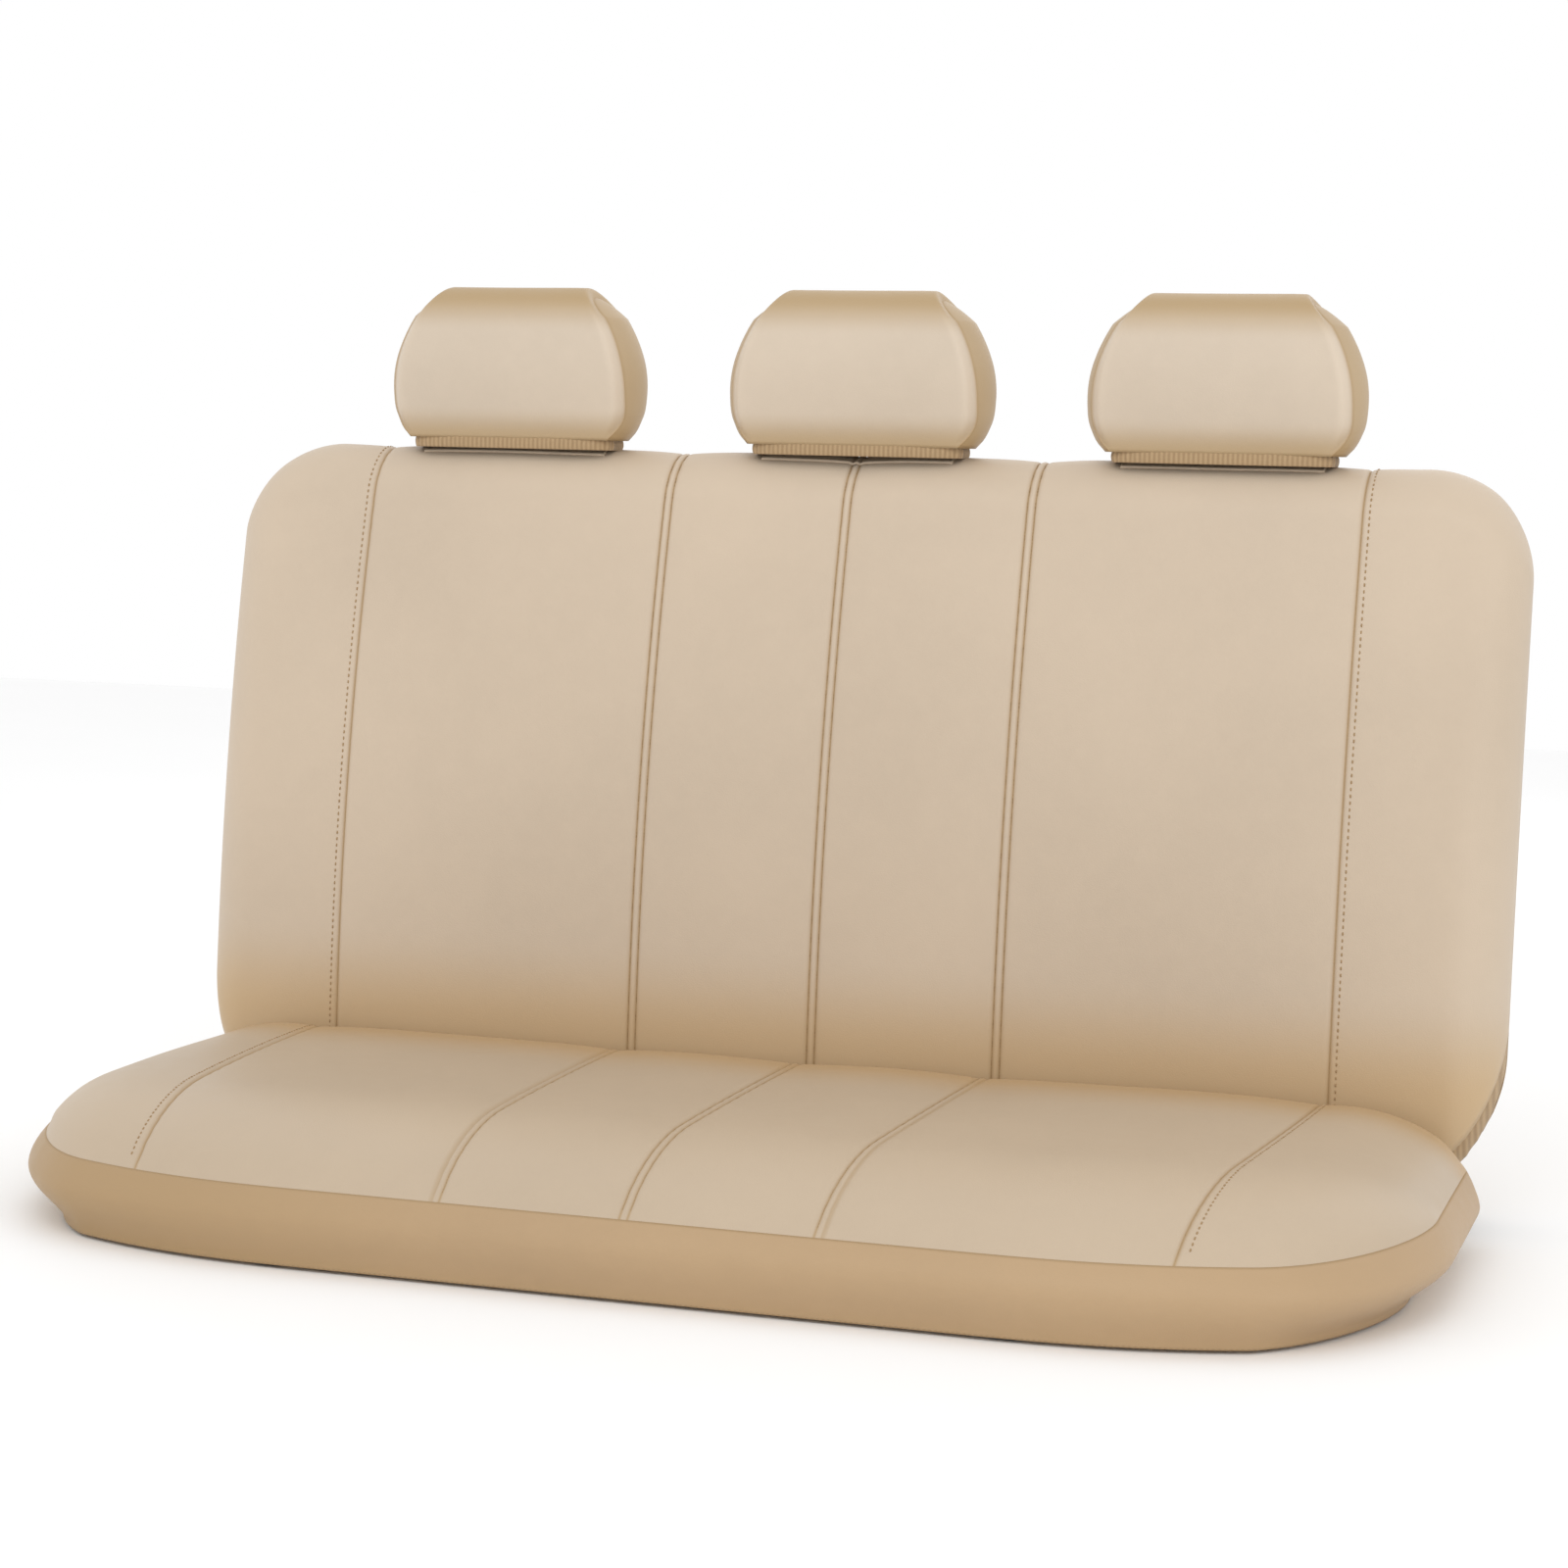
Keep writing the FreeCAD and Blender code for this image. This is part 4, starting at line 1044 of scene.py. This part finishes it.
# %% [markdown]
# ## The headrest covers
#
# A headrest cover is a wrap over front, top and rear, and a gusset let in at each end. From the
# front it is D-shaped: narrow on top, widest a third of the way up, and drawn in again by the
# elastic hem.

# %% Headrest form
HEAD_PITCH = 0.369
HEADRESTS = {"left": -HEAD_PITCH, "centre": 0.0, "right": HEAD_PITCH}
HEAD_FOOT, HEAD_WIDE, HEAD_TOP = 0.7135, 0.766, 0.879
HEAD_HEM = 0.7245
WIDE_FOOT, WIDE_MOST, WIDE_TOP = 0.108, 0.127, 0.082
HEAD_CAP = 0.030
HEAD_Y, HEAD_LEAN = 0.316, 0.002


def head_half_width(z):
    """Half the width at a height: most - (most - top) * t^2.2 above the widest place, and
    most - (most - foot) * t^3.2 below it, for t from 0 at the widest place to 1."""
    above = np.clip((z - HEAD_WIDE) / (HEAD_TOP - HEAD_WIDE), 0, 1)
    below = np.clip((HEAD_WIDE - z) / (HEAD_WIDE - HEAD_HEM), 0, 1)
    upper = WIDE_MOST - (WIDE_MOST - WIDE_TOP) * above**2.2
    lower = WIDE_MOST - (WIDE_MOST - WIDE_FOOT) * below**3.2
    return np.where(z > HEAD_WIDE, upper, lower)


def head_loop(turn):
    """The side view: up the front, over the top and down the rear, as for the backrest."""
    low, top = HEAD_FOOT, HEAD_TOP - HEAD_CAP
    over = np.clip(turn - 1, 0, 1) * np.pi
    z = np.where(
        turn <= 1, low + turn * (top - low),
        np.where(turn < 2, top + HEAD_CAP * np.sin(over), low + (3 - turn) * (top - low)))
    side = np.where(turn <= 1, -1.0, np.where(turn < 2, -np.cos(over), 1.0))
    up = (z - low) / (HEAD_TOP - low)
    middle = HEAD_Y + HEAD_LEAN * up
    belly = 0.027 + 0.020 * np.sin(np.clip(up / 0.62, 0, 1) * np.pi / 2) - 0.009 * up**2
    return middle + side * belly, z


def head_surface(share, turn):
    """A point of the wrap: share runs -1 to 1 between its two gusset seams."""
    y, z = head_loop(turn)
    return np.stack([share * head_half_width(z), y + 0 * share, z + 0 * share], -1)


print("headrest half widths", head_half_width(np.array([HEAD_HEM, HEAD_WIDE, HEAD_TOP])).round(3))

# %% [markdown]
# ## Headrest wrap, gussets and hem
#
# The wrap rolls in towards its two seams by `EDGE_ROLL`, and the gusset starts from that same
# sunken edge, so that the two meet. Both let the roll die out at the hem.

# %% Headrest covers
EDGE_ROLL, HEAD_SWELL, HEAD_SEAM = 0.010, 0.004, 0.0016
HEAD_START = 0.075
HEAD_ACROSS, HEAD_ALONG, GUSSET_ACROSS = 0.12, 0.15, 0.09
HEAD_BAND, HEAD_HEM_WALL = 0.012, 0.0016


def above_hem(z):
    """0 at the hem and 1 from 20 mm above it."""
    return smoothstep(z, HEAD_HEM - 0.002, HEAD_HEM + 0.02)


def head_wrap_patch(turns, centre):
    """The wrap of one headrest cover: swollen in the middle and rolled in at its seams."""
    share, turn = np.meshgrid(np.sin(np.linspace(-np.pi / 2, np.pi / 2, 56)), turns)
    edge = 1 - np.abs(share)
    z = head_surface(share, turn)[..., 2]
    swell = HEAD_SWELL * np.sin(np.clip((z - HEAD_HEM) / (HEAD_TOP - HEAD_HEM), 0, 1) * np.pi)
    roll = -EDGE_ROLL * (1 - smoothstep(edge, 0.0, 0.11)) ** 2
    height = swell * smoothstep(edge, 0, 0.5) + roll
    height = height + 0.0008 * ripple(share * 0.12, turn * 0.2, 41) * smoothstep(edge, 0, 0.3)
    points = raised(head_surface, share, turn, height * above_hem(z))
    points[..., 0] += centre
    # Painted shade near the foot, over the top and in the seams; the rub number paints a highlight,
    # with polish, beside the gusset seams.
    tuck = smoothstep(0.758 - z, 0, 0.034) * 0.8 + smoothstep(z, 0.832, 0.870) * 0.9
    seam = valley(edge * HEAD_ACROSS, HEAD_SEAM) * 0.7
    rub = valley(edge - 0.06, 0.04) * 0.9
    cloth = np.stack([share * HEAD_ACROSS, turn * HEAD_ALONG], -1)
    return grid(points, cloth, seam=seam, tuck=tuck, rub=rub)


def gusset_patch(sign, centre):
    """The end piece: rows follow the wrap's edge up the front and down the rear at once, and
    columns cross from front to rear with a bulge of 4 s (1 - s)."""
    turns = np.concatenate([np.linspace(HEAD_START, 1, 40), np.linspace(1, 1.5, 17)[1:]])
    across = between(0, 1, 22)
    turn, cross = turns[:, None], across[None]
    edge = np.full_like(turn, float(sign))
    z = head_surface(edge, turn)[..., 2]
    height = -EDGE_ROLL * above_hem(z)
    front = raised(head_surface, edge, turn, height)
    rear = raised(head_surface, edge, 3 - turn, height)
    points = front + (rear - front) * cross[..., None]
    gap = np.linalg.norm(rear - front, axis=-1)
    points[..., 0] += sign * 4 * cross * (1 - cross) * np.minimum(gap * 0.16, 0.012)
    points[..., 0] += centre
    cloth = np.stack(np.broadcast_arrays(cross * GUSSET_ACROSS, turn * HEAD_ALONG), -1)
    # Painted shade in the seams and over the whole gusset, deeper near its foot.
    seam = valley(np.minimum(cross, 1 - cross) * gap, HEAD_SEAM) * 0.6
    tuck = 0.74 + 0.2 * smoothstep(0.75 - z, 0, 0.03)
    if sign < 0:
        points, cloth, seam = points[:, ::-1], cloth[:, ::-1], seam[:, ::-1]
    return grid(points, cloth, seam=seam, tuck=tuck)


def head_hem_patch(centre):
    """The hem: a closed band round the foot, drawn in by its elastic, with small gathers."""
    angle = np.linspace(0, math.tau, 240, endpoint=False)
    share = np.linspace(0, 1, 9)[:, None]
    z = HEAD_FOOT + (HEAD_HEM + 0.001 - HEAD_FOOT) * share
    squareness, half_wide, half_deep = 0.34, WIDE_FOOT + 0.0005, 0.0300
    x = half_wide * np.sign(np.cos(angle)) * np.abs(np.cos(angle)) ** squareness
    y = HEAD_Y + half_deep * np.sign(np.sin(angle)) * np.abs(np.sin(angle)) ** squareness
    path = np.stack([x, y], -1)
    step = np.roll(path, -1, 0) - np.roll(path, 1, 0)
    out = np.stack([step[:, 1], -step[:, 0]], -1)
    out /= np.maximum(np.linalg.norm(out, axis=1, keepdims=True), 1e-9)
    length = np.cumsum(np.linalg.norm(np.diff(path, axis=0, prepend=path[:1]), axis=1))
    gathers = 0.0006 * np.sin(length * math.tau / 0.008)[None]
    swell = (0.0008 + gathers) * np.sin(share * np.pi)
    place = path[None] + out[None] * swell[..., None]
    points = np.concatenate([place, np.broadcast_to(z[..., None], place.shape[:2] + (1,))], -1)
    points[..., 0] += centre
    cloth = np.stack(np.broadcast_arrays(length[None], share * HEAD_BAND), -1)
    return grid(points, cloth, wrap=True)


HEAD_TURNS = np.concatenate([
    np.linspace(HEAD_START, 1, 40), np.linspace(1, 2, 33)[1:],
    np.linspace(2, 3 - HEAD_START, 40)[1:]])
for side, centre in HEADRESTS.items():
    body = f"headrest_cover_{side}"
    make(f"headrest_{side}_wrap_cloth", head_wrap_patch(HEAD_TURNS, centre), skins["headrest"],
         body, f"headrest_{side}_wrap")
    for end, sign in (("left", -1), ("right", 1)):
        make(f"headrest_{side}_gusset_{end}_cloth", gusset_patch(sign, centre), skins["headrest"],
             body, f"headrest_{side}_gusset_{end}")
    make(f"headrest_{side}_hem_cloth", head_hem_patch(centre), cloths["hem"], body,
         f"headrest_{side}_hem", thickness=HEAD_HEM_WALL)
print("headrest covers", list(HEADRESTS))

# %% [markdown]
# ## Stitches
#
# A stitch is a capsule. `stitch_line` walks a line on a surface in equal steps of real length,
# and sets one capsule at each step, along the line. The seams beside the bolsters carry a row of
# spaced stitches; the twin rows are finer and closer.

# %% Stitches
STATIONS = np.array([-1.0, -0.8, 0.0, 0.8, 1.0])
GIRTHS = np.array([0.0, 0.75, 1.0, 0.75, 0.0])
AROUND = np.linspace(0, math.tau, 8, endpoint=False)


def capsules(centres, along, normal, length, radius):
    """One capsule at each centre: centre + s * length / 2 * along + g * radius * (cos a * side
    + sin a * normal), for stations s with girths g."""
    side = np.cross(along, normal)
    ring = (np.cos(AROUND)[:, None] * side[:, None, None, :]
            + np.sin(AROUND)[:, None] * normal[:, None, None, :])
    spine = centres[:, None, :] + STATIONS[None, :, None] * length / 2 * along[:, None, :]
    points = spine[:, :, None, :] + GIRTHS[None, :, None, None] * radius * ring
    count, rows, columns = points.shape[:3]
    index = np.arange(rows * columns).reshape(rows, columns)
    index = np.concatenate([index, index[:, :1]], axis=1)
    quads = np.stack([index[:-1, :-1], index[1:, :-1], index[1:, 1:], index[:-1, 1:]], -1)
    quads = quads.reshape(1, -1, 4) + np.arange(count)[:, None, None] * rows * columns
    flat = points.reshape(-1, 3)
    return flat, quads.reshape(-1, 4), np.zeros((len(flat), 2)), {}


def stitch_line(place, start, stop, pitch, length, radius):
    """Capsules along a line. place(t, lift) gives a point of the line, lifted off its surface."""
    t = np.linspace(start, stop, 3000)
    line = place(t, 0.0)
    run = np.concatenate([[0], np.cumsum(np.linalg.norm(np.diff(line, axis=0), axis=1))])
    steps = np.arange(pitch / 2, run[-1], pitch)
    here = np.interp(steps, run, t)
    centre = place(here, 0.0)
    along = place(here + 1e-4, 0.0) - place(here - 1e-4, 0.0)
    along /= np.linalg.norm(along, axis=1, keepdims=True)
    normal = place(here, 1e-3) - place(here, 0.0)
    normal -= (normal * along).sum(1, keepdims=True) * along
    normal /= np.linalg.norm(normal, axis=1, keepdims=True)
    return capsules(centre, along, normal, length, radius)


def back_line(x):
    """A line up the backrest's front at one x."""
    def place(t, lift):
        across = np.full_like(t, x)
        return raised(back_surface, across, t, back_height(across, t) + lift)
    return place


def seat_line(across):
    """A line forwards over the cushion, from the crease to the front seam."""
    def place(t, lift):
        x = np.full_like(t, across)
        return raised(seat_surface, x, 1 - t, seat_height(x, t) + lift)
    return place


SPACED = {"pitch": 0.0065, "length": 0.0036, "radius": 0.00085}
FINE = {"pitch": 0.0036, "length": 0.0029, "radius": 0.00036}
BESIDE = 0.0068
UP_BACK, OVER_SEAT = (0.05, REAR_SEAM), (0.02, 0.985)
for side, sign in (("left", -1), ("right", 1)):
    make(f"back_topstitch_{side}",
         stitch_line(back_line(sign * (BOLSTER + BESIDE)), *UP_BACK, **SPACED),
         cloths["thread"], "backrest_cover", thickness=0)
    make(f"seat_topstitch_{side}",
         stitch_line(seat_line(sign * (BOLSTER + BESIDE)), *OVER_SEAT, **SPACED),
         cloths["thread"], "cushion_cover", thickness=0)
twin_rows = SEAMS[1:-1]
make("back_twin_stitches",
     sew(*[stitch_line(back_line(x), *UP_BACK, **FINE) for x in twin_rows]),
     cloths["thread"], "backrest_cover", thickness=0)
make("seat_twin_stitches",
     sew(*[stitch_line(seat_line(x), *OVER_SEAT, **FINE) for x in twin_rows]),
     cloths["thread"], "cushion_cover", thickness=0)
print("rows of stitches", 4 + 2 * len(twin_rows))

# %% [markdown]
# ## Zips
#
# Each split has a coil zip in the knit behind it. The teeth are capsules laid across the tape in
# two rows that mesh, half a pitch apart.

# %% Zips
TEETH_PITCH, TEETH_FROM, TEETH_TO = 0.0016, 0.050, 0.610
TOOTH_LONG, TOOTH_RADIUS, TOOTH_OFFSET = 0.0034, 0.00062, 0.0010
TAPE_WALL, TAPE_SUNK = 0.0012, 0.0003
for side, x in SPLITS.items():
    tape_x, tape_turn = np.meshgrid(np.linspace(x - TAPE, x + TAPE, 13), REAR_TURNS)
    tape_points = raised(back_surface, tape_x, tape_turn, np.full_like(tape_x, -TAPE_SUNK))
    make(f"zip_{side}_tape", grid(tape_points, np.stack([tape_x, tape_points[..., 2]], -1)),
         cloths["tape"], "backrest_cover", f"zip_{side}", thickness=TAPE_WALL)
    rise = np.arange(TEETH_FROM, TEETH_TO, TEETH_PITCH / 2)
    hand = np.where(np.arange(len(rise)) % 2, 1.0, -1.0)
    lean = np.array([0.0, REAR_TOP - REAR_FOOT, REAR_HEIGHT])
    lean /= np.linalg.norm(lean)
    outward = np.array([0.0, lean[2], -lean[1]])
    centres = np.stack([x + hand * TOOTH_OFFSET, rear_y(rise), rise], -1) + outward * 0.0005
    slant = np.stack([np.ones_like(rise), 0 * rise, hand * 0.12], -1)
    slant /= np.linalg.norm(slant, axis=1, keepdims=True)
    facing = np.cross(slant, np.broadcast_to(lean, slant.shape))
    facing /= np.linalg.norm(facing, axis=1, keepdims=True)
    make(f"zip_{side}_teeth", capsules(centres, slant, facing, TOOTH_LONG, TOOTH_RADIUS),
         cloths["coil"], "backrest_cover", thickness=0)
print("teeth on each zip", len(rise))

# %% [markdown]
# ## Sliders and buckles
#
# These hard parts keep the CAD's shape. They get a material each, and a small bevel so that
# their edges catch the light.

# %% Hard trims
def dress(node, material, edge):
    """Puts a material and a softened edge on a CAD node."""
    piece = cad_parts[node]
    piece.data.materials.clear()
    piece.data.materials.append(material)
    soften = piece.modifiers.new("edge", "BEVEL")
    soften.width = edge
    soften.segments = 2
    soften.limit_method = "ANGLE"
    soften.angle_limit = math.radians(40)
    soften.harden_normals = True


for side in SPLITS:
    dress(f"zip_slider_{side}", cloths["brass"], 0.0003)
    dress(f"zip_pull_{side}", cloths["brass"], 0.0002)
for side in ("left", "right"):
    dress(f"buckle_{side}_socket", cloths["plastic"], 0.0006)
    dress(f"buckle_{side}_plug", cloths["plastic"], 0.0005)
print("hard trims dressed", 2 * len(SPLITS) + 4)

# %% [markdown]
# ## Straps
#
# Webbing is a flat ribbon with rounded edges, led along a path. The front strap runs to the
# buckle, goes round its bar and is sewn back on itself.

# %% Straps
WEB_WIDTH, WEB_THICK, STRAP_X = 0.025, 0.0015, 0.330


def ribbon(x, path):
    """A closed ribbon along a path in y and z: its section is a flat oval, w * cos a across and
    t / 2 * sin a thick, raised to a power so that the edges are round and the faces flat."""
    angle = np.linspace(0, math.tau, 20, endpoint=False)
    across = WEB_WIDTH / 2 * np.sign(np.cos(angle)) * np.abs(np.cos(angle)) ** 0.35
    thick = WEB_THICK / 2 * np.sign(np.sin(angle)) * np.abs(np.sin(angle)) ** 0.8
    step = np.gradient(path, axis=0)
    step /= np.linalg.norm(step, axis=1, keepdims=True)
    up = np.stack([-step[:, 1], step[:, 0]], -1)
    rings = path[:, None, :] + up[:, None, :] * thick[None, :, None]
    points = np.concatenate(
        [np.broadcast_to(x + across, rings.shape[:2])[..., None], rings], -1)
    first, last = (np.repeat(ring.mean(1, keepdims=True), len(angle), 1)
                   for ring in (points[:1], points[-1:]))
    points = np.concatenate([first, points, last])
    run = np.concatenate([[0], np.cumsum(np.linalg.norm(np.diff(points[:, 0], axis=0), axis=1))])
    cloth = np.stack(np.broadcast_arrays(across[None], run[:, None]), -1)
    return grid(points, cloth, wrap=True)


def resampled(corners, spacing=0.002):
    """A path through corners, in steps of about a spacing."""
    corners = np.array(corners)
    gaps = np.linalg.norm(np.diff(corners, axis=0), axis=1)
    run = np.concatenate([[0], np.cumsum(gaps)])
    steps = np.linspace(0, run[-1], int(run[-1] / spacing) + 2)
    return np.stack([np.interp(steps, run, corners[:, k]) for k in (0, 1)], -1), run[-1]


LOW, BAR_Y, BAR_Z, BAR_RADIUS = 0.00175, -0.0586, 0.0055, 0.00375
turn_round = np.linspace(-np.pi / 2, np.pi / 2, 14)
bar_loop = np.stack([BAR_Y + BAR_RADIUS * np.cos(turn_round),
                     BAR_Z + BAR_RADIUS * np.sin(turn_round)], -1).tolist()
sewn_back = [[-0.066, BAR_Z + BAR_RADIUS], [-0.080, 0.0036], [-0.100, 0.00335]]
front_path, front_long = resampled([[-0.342, LOW], [-0.200, LOW], *bar_loop, *sewn_back])
rear_path, rear_long = resampled([[-0.0230, LOW], [0.154, LOW]])
for side, sign in (("left", -1), ("right", 1)):
    for end, path, long in (("front", front_path, front_long), ("rear", rear_path, rear_long)):
        strap = make(f"strap_{side}_{end}_webbing", ribbon(sign * STRAP_X, path),
                     cloths["webbing"], "cushion_cover", f"strap_{side}_{end}",
                     thickness=0)
print("straps", front_long.round(3), rear_long.round(3))

# %% [markdown]
# ## Slit patches
#
# Under each headrest, a patch with a closed slit lets its posts through the backrest cover. It
# lies on the top of the backrest, with a row of sewing inside its edge.

# %% Slit patches
PATCH_HALF_WIDE, PATCH_HALF_DEEP, SLIT_HALF = 0.1, 0.018, 0.072
PATCH_FROM, PATCH_TO = 1.33, 1.607
PER_TURN = 0.13
PATCH_RISE, SLIT_DEEP, SEWN_INSIDE = 0.0018, 0.0016, 0.004


def slit_patch(centre):
    """A patch centred at an x: it rises at its border, and dips along its slit and sewing."""
    x, turn = np.meshgrid(np.linspace(-PATCH_HALF_WIDE, PATCH_HALF_WIDE, 121),
                          np.linspace(PATCH_FROM, PATCH_TO, 25))
    depth = (turn - (PATCH_FROM + PATCH_TO) / 2) * PER_TURN
    slit = valley(depth, 0.0012) * smoothstep(SLIT_HALF - np.abs(x), 0, 0.004)
    border = np.minimum(PATCH_HALF_WIDE - np.abs(x), PATCH_HALF_DEEP - np.abs(depth))
    sewing = valley(border - SEWN_INSIDE, 0.0008)
    lift = PATCH_RISE * smoothstep(border, -0.001, 0.0015) - SLIT_DEEP * slit
    lift = lift + back_height(x + centre, turn) - 0.0005 * sewing
    points = raised(back_surface, x + centre, turn, lift + 0.0002)
    # Painted shade along the slit and the sewing, and a little over the whole patch.
    seam = np.maximum(slit, 0.7 * sewing) * 0.7
    return grid(points, np.stack([x, depth], -1), seam=seam, tuck=0.15)


for side, centre in HEADRESTS.items():
    make(f"post_slit_{side}_cloth", slit_patch(centre), skins["back"], "backrest_cover",
         f"post_slit_patch_{side}", thickness=KNIT)
print("slit patches", len(HEADRESTS))

# %% Sizes
bpy.context.view_layer.update()
low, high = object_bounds()
print("visual", [round(v, 3) for v in low], [round(v, 3) for v in high])
